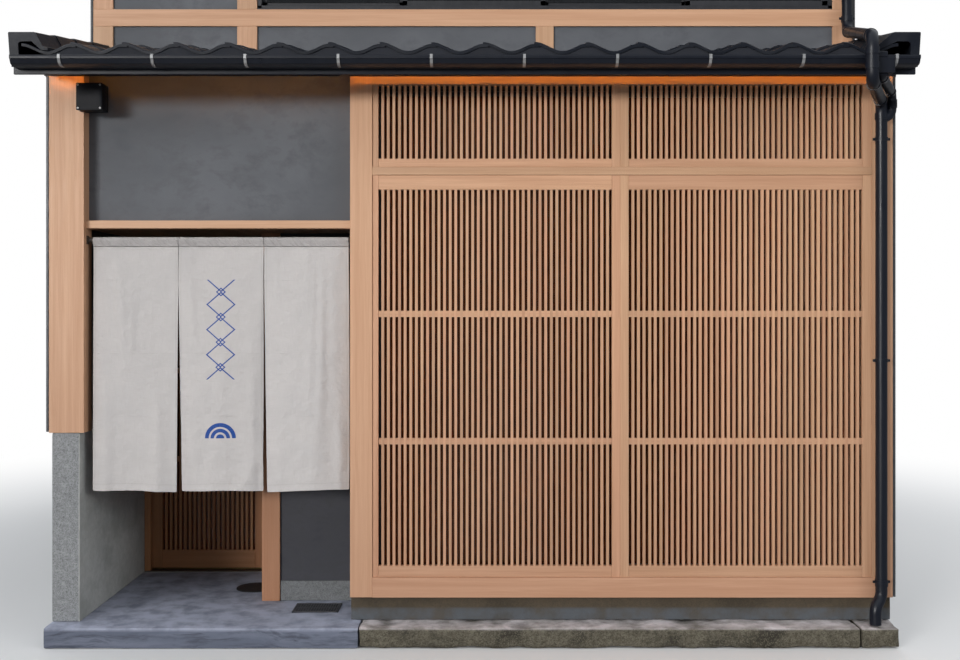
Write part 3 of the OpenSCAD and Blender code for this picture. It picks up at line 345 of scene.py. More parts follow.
def cast_block(parts, low, high, cell, rounding, rough, seed, grain_scale=3.0, top=None,
               skirt=None):
    """A cast block: rounded edges and an uneven skin. Its tone is 1 on top and 0 on its
    sides, or 1 below the height of a skirt."""
    low, high = np.array(low, float), np.array(high, float)
    steps = [max(2, int(round((b - a) / cell))) for a, b in zip(low, high)]
    lines = [np.linspace(a, b, n + 1) for a, b, n in zip(low, high, steps)]
    points, faces, seen_at = [], [], {}

    def corner(i, j, k):
        if (i, j, k) not in seen_at:
            seen_at[i, j, k] = len(points)
            points.append((lines[0][i], lines[1][j], lines[2][k]))
        return seen_at[i, j, k]

    for axis in range(3):
        b, c = (axis + 1) % 3, (axis + 2) % 3
        for side in (0, steps[axis]):
            for m in range(steps[b]):
                for n in range(steps[c]):
                    ring = []
                    for dm, dn in ((0, 0), (1, 0), (1, 1), (0, 1)):
                        spot = [0, 0, 0]
                        spot[axis], spot[b], spot[c] = side, m + dm, n + dn
                        ring.append(corner(*spot))
                    faces.append(ring if side else ring[::-1])
    points = np.array(points)
    inner = np.clip(points, low + rounding, high - rounding)
    out = points - inner
    length = np.linalg.norm(out, axis=1, keepdims=True)
    normal = out / np.maximum(length, 1e-6)
    shaped = inner + normal * np.minimum(length, rounding)
    shift = Vector((seed * 3.7, seed * 1.3, seed * 7.1))
    bumps = np.array([noise.fractal(Vector(p) * 0.001 * grain_scale + shift, 0.9, 2.1, 5)
                      for p in shaped])
    shaped += normal * (np.minimum(bumps - 0.4, 0) * rough)[:, None]
    if top is not None:
        shaped[:, 2] = np.where(shaped[:, 2] > high[2] - 0.5, np.minimum(shaped[:, 2], top),
                                shaped[:, 2])
    # Tone 1 marks the top and its eased edge; finishes that use it paint it paler, partly for wear
    # and partly as painted light from the sky.
    worn = np.clip((shaped[:, 2] - high[2] + 14) / 12, 0, 1)
    if skirt is not None:
        worn = np.clip((skirt - shaped[:, 2]) / 6 + 0.5, 0, 1)
    parts.add(shaped, faces, shaped * 0.001, worn, smooth=True)


def make_trowelled():
    """Trowelled mortar or plaster: long strokes, soft clouds and fine pits."""
    group, given, out = effect("trowelled", MINERAL + [("Stroke", VECTOR, (1, 1, 1)),
                                                       ("Size", NUMBER, 1.0)])
    warp = cloud(group, given["Vector"], 1.7, 3.0)
    v = vector_of(group, "ADD", given["Vector"],
                  vector_of(group, "MULTIPLY", warp, (0.22, 0.22, 0.22)))
    v = vector_of(group, "MULTIPLY", v, given["Stroke"])
    v = wire(group, "ShaderNodeVectorMath", {0: v, "Scale": given["Size"]},
             operation="SCALE").outputs[0]
    clouds = cloud(group, v, 1.6, 4.0, 0.6)
    strokes = cloud(group, v, 9.0, 5.0, 0.65)
    pits = cloud(group, given["Vector"], 320.0, 2.0)
    colour = blend_of(group, spread(group, clouds, 0.40, 0.66), given["Base"], given["Pale"])
    colour = blend_of(group, spread(group, strokes, 0.52, 0.36), colour, given["Dark"])
    height = plus(group, strokes, times(group, pits, 0.18))
    return put_out(group, out, Color=colour, Height=height,
                   Roughness=spread(group, strokes, 0.3, 0.7, 0.55, 0.85))


def make_weathered():
    """Old concrete and render: mottled, with grit, stains and small stones."""
    group, given, out = effect("weathered_stone", MINERAL + [
        ("Stain", NUMBER, 0.5), ("Grit", NUMBER, 0.5), ("Grit Size", NUMBER, 240.0)])
    v = given["Vector"]
    patches = cloud(group, v, 3.2, 6.0, 0.62)
    mottle = cloud(group, v, 34.0, 5.0, 0.6)
    stones = wire(group, "ShaderNodeTexVoronoi", {"Vector": v, "Scale": given["Grit Size"]})
    chip = wire(group, "ShaderNodeSeparateColor", {0: stones.outputs["Color"]}).outputs[0]
    colour = blend_of(group, spread(group, mottle, 0.35, 0.65), given["Base"], given["Pale"])
    stain = times(group, spread(group, patches, 0.48, 0.62), given["Stain"])
    colour = blend_of(group, stain, colour, given["Dark"])
    for low, high, tint in ((0.62, 0.95, "Pale"), (0.36, 0.05, "Dark")):
        speck = times(group, spread(group, chip, low, high), given["Grit"])
        colour = blend_of(group, speck, colour, given[tint])
    grains = times(group, stones.outputs["Distance"], given["Grit"])
    rise = sum_of(group, "SUBTRACT", times(group, mottle, 0.6), grains)
    return put_out(group, out, Color=colour, Roughness=spread(group, mottle, 0.3, 0.7, 0.75, 0.97),
                   Height=rise)


trowelled, weathered = make_trowelled(), make_weathered()


def masonry(name, group, depth, placed=True, worn=None, **given):
    """A mineral finish. Pieces of the scene are placed by their own grain, and the frame's
    solids, which have none, by where they stand. Worn is the colour of the top and the edge
    round it, and how much of it shows: on the step and the kerb it is wear together with
    painted light on their tops, and on the base wall it is the colour below the skirt."""
    look, tree, shader, grain, tone = shade(name)
    if not placed:
        grain = place_of(tree)
    given = {key.replace("_", " "): (*value, 1) if key in ("Base", "Pale", "Dark") else value
             for key, value in given.items()}
    made = wire(tree, "ShaderNodeGroup", {"Vector": grain, **given}, node_tree=group).outputs
    colour = made["Color"]
    if worn:
        # Painted light and wear: the tone's top mask paints the top and its edge in the worn
        # colour.
        rubbed_and_lit = spread(tree, cloud(tree, grain, 9.0, 5.0, 0.6), 0.34, 0.6, 0.35, 1.0)
        rubbed_and_lit = times(tree, rubbed_and_lit, times(tree, tone, worn[1]))
        colour = blend_of(tree, rubbed_and_lit, colour, (*worn[0], 1))
    feed(tree, shader, colour, made["Roughness"], made["Height"], depth)
    return look


def dress(node, look):
    """Gives a solid of the frame its finish."""
    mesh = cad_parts[node].data
    mesh.materials.clear()
    mesh.materials.append(look)


concrete = masonry("concrete", weathered, 0.0008, False, Base=(0.36, 0.36, 0.35),
                   Pale=(0.44, 0.44, 0.42), Dark=(0.24, 0.24, 0.23), Stain=0.5, Grit=0.15)
dress("ground_slab", concrete)

# The step's top and front edge are painted much paler than its sides: partly wear, partly painted
# light.
mortar = masonry("mortar", trowelled, 0.0016, worn=((0.49, 0.52, 0.64), 0.85),
                 Base=(0.115, 0.132, 0.180), Pale=(0.190, 0.210, 0.275),
                 Dark=(0.066, 0.076, 0.108), Stroke=(0.3, 3.2, 3.6), Size=1.5)
step = Joinery(1)
cast_block(step, (STEP_X0, -120, 0), (STEP_X1, STEP_Y, STEP_Z), 22, 7, 3.0, 1, top=STEP_Z)
step.done("entry_step", mortar, "mortar")

# The kerb's top and front edge are painted much paler than its front: partly wear, partly painted
# light.
old_concrete = masonry("old_concrete", weathered, 0.004, worn=((0.66, 0.61, 0.62), 1.0),
                       Base=(0.068, 0.058, 0.038), Pale=(0.16, 0.145, 0.108),
                       Dark=(0.026, 0.022, 0.014), Stain=0.9, Grit=0.6, Grit_Size=190.0)
kerb = Joinery(2)
cast_block(kerb, (STEP_X1, -120, 0), (2076, 100, STEP_Z), 13, 14, 10, 2, 5.0)
cast_block(kerb, (2080, -120, 0), (OUTER, 100, STEP_Z), 13, 12, 8, 9, 5.0)
kerb.done("front_kerb", old_concrete, "old_concrete")

# Drain cover in the porch floor: a black iron grate in a thin frame, over a small sump.
# Beside the inner post lies the round iron lid of an inspection hole.
cover = Joinery(3)
DRAIN_X0, DRAIN_X1, DRAIN_Y0, DRAIN_Y1 = -1005, -745, 190, 370
# Painted light and shade: the bars get a paler tone than the plate under them, so their tops show
# light and the plate between them shade.
cover.plank(DRAIN_X0, DRAIN_X1, DRAIN_Y0, DRAIN_Y1, 104, 110.8, tone=0)
cover.planks(*((DRAIN_X0, DRAIN_X1, y, y + 10, 105, 114) for y in (DRAIN_Y0, DRAIN_Y1 - 10)),
             *((x, x + 10, DRAIN_Y0, DRAIN_Y1, 105, 114) for x in (DRAIN_X0, DRAIN_X1 - 10)),
             chamfer=1, tone=0.6)
for i in range(17):
    x = DRAIN_X0 + 13 + 14.2 * i
    cover.plank(x, x + 6, DRAIN_Y0 + 10, DRAIN_Y1 - 10, 105, 113, chamfer=1, tone=1)
cover.plank(DRAIN_X0, DRAIN_X1, 276, 284, 105, 112.5, chamfer=1)


def disc(parts, middle, axis, radius, depth, sides=20, rim=1.0, tone=None):
    """A turned disc or rod along an axis, with its rims eased."""
    rings = [(0, radius - rim), (rim, radius), (depth - rim, radius), (depth, radius - rim)]
    points = []
    for along, r in rings:
        for k in range(sides):
            a = 2 * math.pi * k / sides
            spot = [r * math.cos(a), r * math.sin(a)]
            spot.insert(axis, along)
            points.append([m + s for m, s in zip(middle, spot)])
    faces = []
    for j in range(3):
        for k in range(sides):
            n = (k + 1) % sides
            faces.append([j * sides + k, j * sides + n, (j + 1) * sides + n, (j + 1) * sides + k])
    faces.append(list(range(sides))[::-1])
    faces.append(list(range(3 * sides, 4 * sides)))
    if axis == 1:
        faces = [face[::-1] for face in faces]
    parts.add(points, faces, tone=tone)


for radius, depth, edge in ((118, 8, 2), (104, 9.5, 1)):
    disc(cover, (-1318, 744, 105), 2, radius, depth, 40, edge, 0)


def coated(name, base, pale, roughness, grime=0.35, metallic=0.0, sheen=0.5):
    """Paint, baked enamel or bare sheet: cloudy gloss, dust on it and faint runs."""
    look, tree, shader, grain, tone = shade(name, Metallic=metallic, Specular_IOR_Level=sheen)
    mottle = cloud(tree, grain, 6.0, 5.0, 0.6)
    fine = cloud(tree, grain, 120.0, 3.0)
    runs = cloud(tree, grain, 5.0, 4.0, 0.6, (9, 9, 0.7))
    dust = times(tree, spread(tree, runs, 0.44, 0.7), grime)
    colour = blend_of(tree, spread(tree, tone, 0, 1, 0, 0.35), (*base, 1), (*pale, 1))
    colour = blend_of(tree, dust, colour, (*pale, 1))
    gloss = plus(tree, spread(tree, mottle, 0.3, 0.7, roughness - 0.07, roughness + 0.09),
                 times(tree, dust, 0.25))
    feed(tree, shader, colour, gloss, plus(tree, mottle, times(tree, fine, 0.12)), 0.0004)
    return look


iron = coated("black_iron", (0.012, 0.012, 0.015), (0.22, 0.22, 0.24), 0.55, 0.05)
cover.done("drain_cover", iron, "black_sheet")

# Base wall under the lattice and under the porch's side panel: brick, coated with grey cement
# render. Above its skirt the render is coloured dark olive as painted shade under the sill;
# below the skirt it shows its own blue grey.
base_render = masonry("base_render", weathered, 0.0014, worn=((0.085, 0.094, 0.105), 1.0),
                      Base=(0.062, 0.047, 0.030), Pale=(0.09, 0.07, 0.046),
                      Dark=(0.034, 0.027, 0.017), Stain=0.6, Grit=0.4, Grit_Size=330.0)
base = Joinery(4)
MIDDLE_X, BASE_Z = -655, 242
cast_block(base, (MIDDLE_X, 40, STEP_Z), (OUTER, 150, BASE_Z), 12, 4, 1.5, 4, skirt=172)
base.done("base_walls", base_render, "base_render")

# Low wall beside the porch, and the foot of the porch's side panel: their coat is washed
# grey green stone chips, and the porch side of the wall is smooth.
stone_render = masonry("stone_render", weathered, 0.0026, Base=(0.222, 0.23, 0.236),
                       Pale=(0.375, 0.383, 0.393), Dark=(0.115, 0.124, 0.125), Stain=0.15,
                       Grit=0.8, Grit_Size=330.0)
smooth_render = masonry("smooth_render", weathered, 0.0006, Base=(0.42, 0.43, 0.41),
                        Pale=(0.50, 0.51, 0.49), Dark=(0.28, 0.29, 0.27), Stain=0.6,
                        Grit=0.12)
low_wall, skim = Joinery(5), Joinery(6)
INNER, LOW_WALL_Z = 2122, 1134
cast_block(low_wall, (STEP_X0, 0, STEP_Z), (-2125, STEP_Y, LOW_WALL_Z), 24, 7, 1.2, 6)
skim.plank(-2128, -INNER, 3, STEP_Y, STEP_Z, LOW_WALL_Z - 2, chamfer=2)
skim.done("low_wall_skim", smooth_render, "stone_render")
low_wall.done("low_wall", stone_render, "stone_render")
plinth = Joinery(7)
cast_block(plinth, (-1115, 438, STEP_Z), (MIDDLE_X, 534, 226), 20, 3, 1.0, 5)
# Painted shade: the foot in the porch takes a darker copy of the stone chips, for the shade inside
# the porch.
shaded_foot_render = masonry("shaded_foot_render", weathered, 0.002, Base=(0.15, 0.158, 0.162),
                      Pale=(0.24, 0.248, 0.255), Dark=(0.085, 0.092, 0.094), Stain=0.2, Grit=0.7,
                      Grit_Size=330.0)
plinth.done("porch_plinth", shaded_foot_render, "stone_render")

# Front posts: three squared cedar posts, planed and oiled, cut at the top to the slope of
# the rafters. Each piece of timber gets its own grain and its own tone.


def make_grain():
    """Planed softwood: fine straight grain, broad growth bands and a tone for each piece."""
    group, given, out = effect("planed_grain", [
        ("Grain", VECTOR, None), ("Tone", NUMBER, 0.5), ("Pale", COLOUR, (1, 1, 1, 1)),
        ("Dark", COLOUR, (0, 0, 0, 1)), ("Contrast", NUMBER, 0.6)])
    bend = cloud(group, given["Grain"], 1.3, 2.0, stretch=(0.9, 6, 6))
    g = vector_of(group, "ADD", given["Grain"],
                  vector_of(group, "MULTIPLY", bend, (0, 0.03, 0.03)))
    fine = cloud(group, g, 1.0, 4.0, 0.62, (3.5, 260, 260))
    bands = cloud(group, g, 1.0, 2.0, 0.5, (0.9, 34, 34))
    pores = cloud(group, g, 1.0, 2.0, 0.5, (26, 900, 900))
    mixed = plus(group, times(group, fine, 0.45), times(group, bands, 0.55))
    mask = spread(group, mixed, 0.36, 0.62)
    mask = times(group, mask, given["Contrast"])
    colour = blend_of(group, mask, given["Pale"], given["Dark"])
    warm = blend_of(group, 1.0, colour, (1.0, 0.93, 0.88, 1), "MULTIPLY")
    cool = blend_of(group, 1.0, colour, (0.99, 1.0, 0.93, 1), "MULTIPLY")
    colour = blend_of(group, given["Tone"], warm, cool)
    wander = wire(group, "ShaderNodeTexWhiteNoise", {"W": times(group, given["Tone"], 91.7)},
                  noise_dimensions="1D").outputs[0]
    light = spread(group, wander, 0.0, 1.0, 0.86, 1.07)
    colour = wire(group, "ShaderNodeHueSaturation", {"Color": colour, "Value": light}).outputs[0]
    return put_out(group, out, Color=colour, Roughness=spread(group, fine, 0.3, 0.7, 0.42, 0.62),
                   Height=plus(group, fine, times(group, pores, 0.5)))


planed_grain = make_grain()


def timber(name, pale, dark, contrast=0.6):
    """Timber of two growth colours, with painted shade that makes it a little darker towards the
    ground.
    """
    look, tree, shader, grain, tone = shade(name)
    made = wire(tree, "ShaderNodeGroup", {"Grain": grain, "Tone": tone, "Pale": (*pale, 1),
                                          "Dark": (*dark, 1), "Contrast": contrast},
                node_tree=planed_grain).outputs
    # Painted shade: the colour darkens by about a sixth from 2.5 m down to the ground.
    low = spread(tree, axis_of(tree, place_of(tree), 2), 2.5, 0.1)
    colour = blend_of(tree, low, made["Color"], (0.83, 0.81, 0.83, 1), "MULTIPLY")
    feed(tree, shader, colour, made["Roughness"], made["Height"], 0.0003)
    return look


cedar = timber("cedar", (0.65, 0.40, 0.262), (0.49, 0.262, 0.148))
ENTRY_X, BAY_X0, BAY_X1, POST, EAVE_Z, PENT_RISE = -2098, -535, 2196, 120, 3090, 0.17
posts = Joinery(11).planks((-OUTER, ENTRY_X, 0, POST, LOW_WALL_Z, EAVE_Z),
                           (MIDDLE_X, BAY_X0, 0, POST, BASE_Z, EAVE_Z),
                           (BAY_X1, OUTER, 0, POST, BASE_Z, EAVE_Z), cut=PENT_RISE)
posts.done("front_posts", cedar, "cedar")

# Lattice frame: sill, transom and head beam between the posts, and a narrow filler strip
# beside the right post. Cedar, tenoned into the posts.
holders = Joinery(12)
SILL_TOP, TRANSOM_Z, TRANSOM_TOP, HEAD_Z, FILLER_X = 350, 2533, 2576, 3023, 2174
holders.plank(BAY_X0, BAY_X1, -6, POST, BASE_Z, SILL_TOP, chamfer=2)
holders.plank(BAY_X0, FILLER_X, 0, 44, TRANSOM_Z, TRANSOM_TOP)
holders.plank(FILLER_X, BAY_X1, 4, 44, SILL_TOP, HEAD_Z)
holders.plank(BAY_X0, BAY_X1, 0, POST, HEAD_Z, EAVE_Z, cut=PENT_RISE)
holders.done("lattice_frame", cedar, "cedar")

# Lattice panels: four framed panels of 41 slim upright bars. The bars are housed in the
# rails, stand almost flush with them, and are cut round the thin cross rails.
lattice_cedar = timber("lattice_cedar", (0.66, 0.40, 0.26), (0.46, 0.24, 0.135))
CLEAR, BAR, BARS, CROSS = 1267.5, 15.2, 41, 34
PITCH = (CLEAR - BARS * BAR) / (BARS + 1) + BAR


def lattice(name, seed, x0, left, right, z0, z1, bottom, top, crosses):
    """One panel: the widths of its two stiles and two rails, and the heights of its cross
    rails. The upper panels have no top rail."""
    panel = Joinery(seed)
    x1 = x0 + left
    x2 = x1 + CLEAR
    panel.planks((x0, x1 - 0.4, 8, 44, z0, z1), (x2 + 0.4, x2 + right, 8, 44, z0, z1),
                 (x1, x2, 8.3, 43.7, z0 + 0.4, z0 + bottom))
    if top:
        panel.plank(x1, x2, 8.3, 43.7, z1 - top, z1 - 0.4)
    panel.planks(*((x1, x2, 12, 34, z, z + CROSS) for z in crosses), chamfer=1)
    for i in range(BARS):
        x = x1 + PITCH * (i + 1) - BAR
        wobble = panel.draw.uniform(-0.4, 0.4)
        panel.plank(x + wobble, x + BAR + wobble, 11 + 0.3 * wobble, 35, z0 + bottom - 4,
                    z1 - max(top, 1) + (4 if top else 0), chamfer=1.1)
    panel.done(name, lattice_cedar, "lattice_cedar")


seed = 21
for level, z0, z1, bottom, top, crosses in (("upper", TRANSOM_TOP, HEAD_Z, 46, 0, []),
                                            ("lower", SILL_TOP, TRANSOM_Z, 62, 79, [1070, 1762])):
    for side, x0, left, right in (("left", BAY_X0, 33, 46), ("right", 811.5, 46, 49)):
        lattice(f"lattice_{level}_{side}", seed, x0, left, right, z0, z1, bottom, top, crosses)
        seed += 1

# Plaster over the entrance and in the porch: lime and sand over a base coat, coloured grey
# and smoothed with a steel trowel, which leaves soft cloudy marks.
plaster = masonry("plaster", trowelled, 0.0007, False, Base=(0.090, 0.096, 0.108),
                  Pale=(0.130, 0.137, 0.152), Dark=(0.082, 0.087, 0.099),
                  Stroke=(0.8, 0.8, 1.3), Size=0.8)
# Painted shade: the porch's inner walls take a darker copy of the plaster, for the shade inside the
# porch.
dark_plaster = masonry("dark_plaster", trowelled, 0.0006, False, Base=(0.045, 0.046, 0.056),
                       Pale=(0.054, 0.055, 0.066), Dark=(0.038, 0.039, 0.047),
                       Stroke=(1.0, 1.0, 2.0), Size=1.2)
dress("entry_panel", plaster)
for node in ("entry_side_panel", "porch_side_wall", "alcove_side_wall", "door_wall"):
    dress(node, dark_plaster)

# Entrance lintel and inner post: planed cedar, like the posts beside them. The lintel is
# tenoned into the posts; the inner post stands on the porch floor, under the ceiling.
LINTEL_Y, LINTEL_Z, LINTEL_TOP = 140, 2245, 2288
lintel = Joinery(31).planks((ENTRY_X, MIDDLE_X, 30, LINTEL_Y, LINTEL_Z, LINTEL_TOP))
lintel.done("entry_lintel", cedar, "cedar")
red_cedar = timber("red_cedar", (0.60, 0.30, 0.17), (0.45, 0.195, 0.095))
post = Joinery(32).planks((-1220, -1115, 430, 535, STEP_Z, LINTEL_Z), chamfer=2)
post.done("inner_post", red_cedar, "cedar")

# Porch ceiling: narrow cedar boards, planed and tongued together, held between the lintel
# and the door wall.
ceiling_boards = timber("ceiling_boards", (0.36, 0.21, 0.12), (0.24, 0.13, 0.07), 0.7)
BOARD, DOOR_Y = 113.3, 1190
ceiling = Joinery(33)
for i in range(14):
    x = -INNER + BOARD * i
    ceiling.plank(x + 0.5, x + 112.8, LINTEL_Y, DOOR_Y, LINTEL_Z, 2269, chamfer=2, along=1)
ceiling.done("porch_ceiling", ceiling_boards, "ceiling_boards")

# Door frame: cedar jambs and head round the doorway, a sill darkened with painted shade, and
# behind them the head rail that guides the door and the brass rail that it rolls on.
# Painted shade: the sill's timber is coloured very dark for the shade at the foot of the door.
shaded_sill_timber = timber("shaded_sill_timber", (0.085, 0.055, 0.038), (0.04, 0.026, 0.02), 0.8)
SILL_Z, JAMB, JAMB_TOP, DOOR_X0, DOOR_X1, WALL_X = 116, 39, 2024, -INNER, -1316, -634
RAIL_Y = 1238
jamb_cedar = timber("jamb_cedar", (0.60, 0.30, 0.145), (0.42, 0.18, 0.075), 0.55)
jambs = Joinery(34).planks((DOOR_X0, DOOR_X0 + JAMB, STEP_Y, DOOR_Y, SILL_Z, JAMB_TOP),
                           (DOOR_X1 - JAMB, DOOR_X1, STEP_Y, DOOR_Y, SILL_Z, JAMB_TOP),
                           (DOOR_X0, DOOR_X1, STEP_Y, DOOR_Y, JAMB_TOP, JAMB_TOP + JAMB),
                           (DOOR_X0, WALL_X, DOOR_Y, RAIL_Y, 2045, 2105))
jambs.done("door_frame", jamb_cedar, "cedar")
sill = Joinery(35).planks((DOOR_X0, DOOR_X1, STEP_Y, DOOR_Y - 0.5, STEP_Z, SILL_Z - 0.3),
                          (DOOR_X0, WALL_X, DOOR_Y, RAIL_Y, STEP_Z, SILL_Z - 0.3))
sill.done("door_sill", shaded_sill_timber, "cedar")
brass = coated("brass", (0.55, 0.38, 0.14), (0.28, 0.2, 0.1), 0.32, 0.5, 0.9)
rail = Joinery(36).planks((DOOR_X0, WALL_X, 1211, 1217, SILL_Z, SILL_Z + 3), chamfer=1)
rail.done("floor_rail", brass, "cedar")

# Sliding door: a cedar frame with 19 upright bars housed in its rails, two thin cross
# rails, a sheet of glass behind them, a sunk pull and two wheels in the bottom rail.
door_cedar = timber("door_cedar", (0.50, 0.235, 0.10), (0.34, 0.135, 0.048))
door = Joinery(41)
DOOR_BARS, STILE_X0, STILE_X1, LEAF_Z, LEAF_TOP = 19, -2019, -1419, SILL_Z + 9, 2039
RAIL_TOP, HEAD_RAIL_Z = LEAF_Z + 115, LEAF_TOP - 80
door.planks((STILE_X0 - 79, STILE_X0 - 0.3, 1196, 1232, LEAF_Z, LEAF_TOP),
            (STILE_X1 + 0.3, STILE_X1 + 79, 1196, 1232, LEAF_Z, LEAF_TOP),
            (STILE_X0, STILE_X1, 1196.3, 1231.7, LEAF_Z, RAIL_TOP),
            (STILE_X0, STILE_X1, 1196.3, 1231.7, HEAD_RAIL_Z, LEAF_TOP))
DOOR_PITCH = (STILE_X1 - STILE_X0 - DOOR_BARS * BAR) / (DOOR_BARS + 1) + BAR
for i in range(DOOR_BARS):
    x = STILE_X0 + DOOR_PITCH * (i + 1) - BAR
    door.plank(x, x + BAR, 1199, 1215, RAIL_TOP - 3, HEAD_RAIL_Z + 3, chamfer=1.1)
for k in (1, 2):
    z = RAIL_TOP + k * (HEAD_RAIL_Z - RAIL_TOP) / 3
    door.plank(STILE_X0, STILE_X1, 1200, 1214, z, z + CROSS, chamfer=1)
door.done("entrance_door", door_cedar, "lattice_cedar", "sliding_door")
pull = Joinery(42)
PULL_X, PULL_Z, PULL = -2047, LEAF_Z + 800, 120
pull.planks((PULL_X - 10, PULL_X - 6, 1194.5, 1208, PULL_Z, PULL_Z + PULL),
            (PULL_X + 6, PULL_X + 10, 1194.5, 1208, PULL_Z, PULL_Z + PULL),
            (PULL_X - 6, PULL_X + 6, 1194.5, 1208, PULL_Z, PULL_Z + 4),
            (PULL_X - 6, PULL_X + 6, 1194.5, 1208, PULL_Z + PULL - 4, PULL_Z + PULL), chamfer=0.8)
pull.plank(PULL_X - 6, PULL_X + 6, 1204, 1208, PULL_Z + 4, PULL_Z + PULL - 4, chamfer=0.5)
for x in (STILE_X0, STILE_X1):
    disc(pull, (x, 1210, SILL_Z + 17.3), 1, 14, 8)
pull.done("door_pull_and_wheels", iron, "dark_metal", "sliding_door")

# Glass of the door and of all the windows: float glass with a thin film of dust. Its colour
# is painted shade of the unlit rooms behind: brown in the door and behind the lattices, dark
# in the other windows.


def pane(node, brown_to):
    """The glass of a node, brown as far back from the front as given, in metres."""
    glass, tree, shader = bare(node, Metallic=0.0, Transmission_Weight=0.75, IOR=1.45,
                               Specular_IOR_Level=0.2)
    place = place_of(tree)
    film = cloud(tree, place, 3.0, 4.0)
    dusty = spread(tree, film, 0.4, 0.65)
    # Painted shade: brown and dark stand for the unlit rooms seen through the glass.
    brown = blend_of(tree, dusty, (0.42, 0.118, 0.036, 1), (0.54, 0.17, 0.060, 1))
    dark = blend_of(tree, dusty, (0.020, 0.023, 0.027, 1), (0.045, 0.050, 0.056, 1))
    far = spread(tree, axis_of(tree, place, 1), brown_to, brown_to + 0.1)
    feed(tree, shader, blend_of(tree, far, brown, dark), spread(tree, film, 0.3, 0.7, 0.02, 0.09))
    dress(node, glass)


pane("entrance_door_glass", 5)
pane("window_glass", 0.3)

# Curtain pole: a dark stained round rod of 28 mm. Its ends lie in two sockets, whose square
# plates are screwed to the posts.
dark_metal = coated("dark_stained_rod", (0.035, 0.026, 0.02), (0.10, 0.08, 0.065), 0.5)
pole = Joinery(51)
POLE_Y, POLE_Z = 56, 2183
disc(pole, (-2088, POLE_Y, POLE_Z), 0, 14, 1423, 28, 2)
for x, socket_x in ((ENTRY_X, ENTRY_X + 1), (-665, -665)):
    pole.plank(x, x + 3, POLE_Y - 18, POLE_Y + 18, POLE_Z - 23, POLE_Z + 23, chamfer=1)
    disc(pole, (socket_x, POLE_Y, POLE_Z), 0, 18, 9, 24, 2)
pole.done("curtain_pole", dark_metal, "dark_metal")

# Curtain: three panels of unbleached hemp, sewn together above the slits. Each has a sleeve
# for the pole, a second line of stitches, side hems and a hem at its foot, and hangs with
# soft folds. The middle one carries a chain of lozenges and a wave scale, dyed blue.
CURTAIN_X, SEAM_Z, SLIT_Z, HEM_Z, FRAMES = -2065, 2135, 1940, 821, 46


def make_weave():
    """Plain weave with slubs: threads both ways, some thicker."""
    group, given, out = effect("hemp_weave", [("Cloth", VECTOR, None), ("Thread", NUMBER, 0.0011)],
                               [("Color", NUMBER), ("Height", NUMBER)])
    threads, slubs = [], []
    for axis, stretch in ((0, (900, 14, 1)), (1, (14, 900, 1))):
        turn = sum_of(group, "DIVIDE", axis_of(group, given["Cloth"], axis), given["Thread"])
        threads.append(sum_of(group, "SINE", times(group, turn, 2 * math.pi)))
        slubs.append(cloud(group, given["Cloth"], 1.0, 2.0, 0.6, stretch))
    slub, cross = plus(group, *slubs), times(group, *threads)
    return put_out(group, out, Color=spread(group, slub, 0.7, 1.3),
                   Height=plus(group, times(group, cross, 0.35), times(group, slub, 1.2)))


weave = make_weave()


def band(tree, value, middle, half, soft=0.0012):
    """1 within a band round a value, 0 outside it."""
    off = sum_of(tree, "ABSOLUTE", sum_of(tree, "SUBTRACT", value, middle))
    return spread(tree, off, half + soft, half)


def dyed_mark(tree, across, down):
    """A chain of four lozenges and, below it, one wave scale of three arcs."""
    half_w, half_h, line = 0.078, 0.068, 0.0062
    steps = sum_of(tree, "PINGPONG", sum_of(tree, "SUBTRACT", down, 0.515), half_h)
    slope = sum_of(tree, "DIVIDE", steps, half_h)
    side = sum_of(tree, "DIVIDE", sum_of(tree, "ABSOLUTE", across), half_w)
    chain = band(tree, plus(tree, side, slope), 0.96, line / half_w * 0.7, 0.012)
    turned = plus(tree, side, sum_of(tree, "SUBTRACT", 1.0, slope))
    small = band(tree, turned, 0.30, line / half_w * 0.6, 0.012)
    chain = sum_of(tree, "MAXIMUM", chain, small)
    chain = times(tree, chain, band(tree, down, 0.515, 4 * half_h - 0.002))
    foot = sum_of(tree, "SUBTRACT", 1.105, down)
    radius = sum_of(tree, "SQRT", plus(tree, times(tree, across, across), times(tree, foot, foot)))
    scale = band(tree, radius, 0.0, 0.022)
    for r, half in ((0.043, 0.009), (0.073, 0.010)):
        scale = sum_of(tree, "MAXIMUM", scale, band(tree, radius, r, half))
    scale = times(tree, scale, spread(tree, foot, 0.0, 0.001))
    return sum_of(tree, "MAXIMUM", chain, scale)


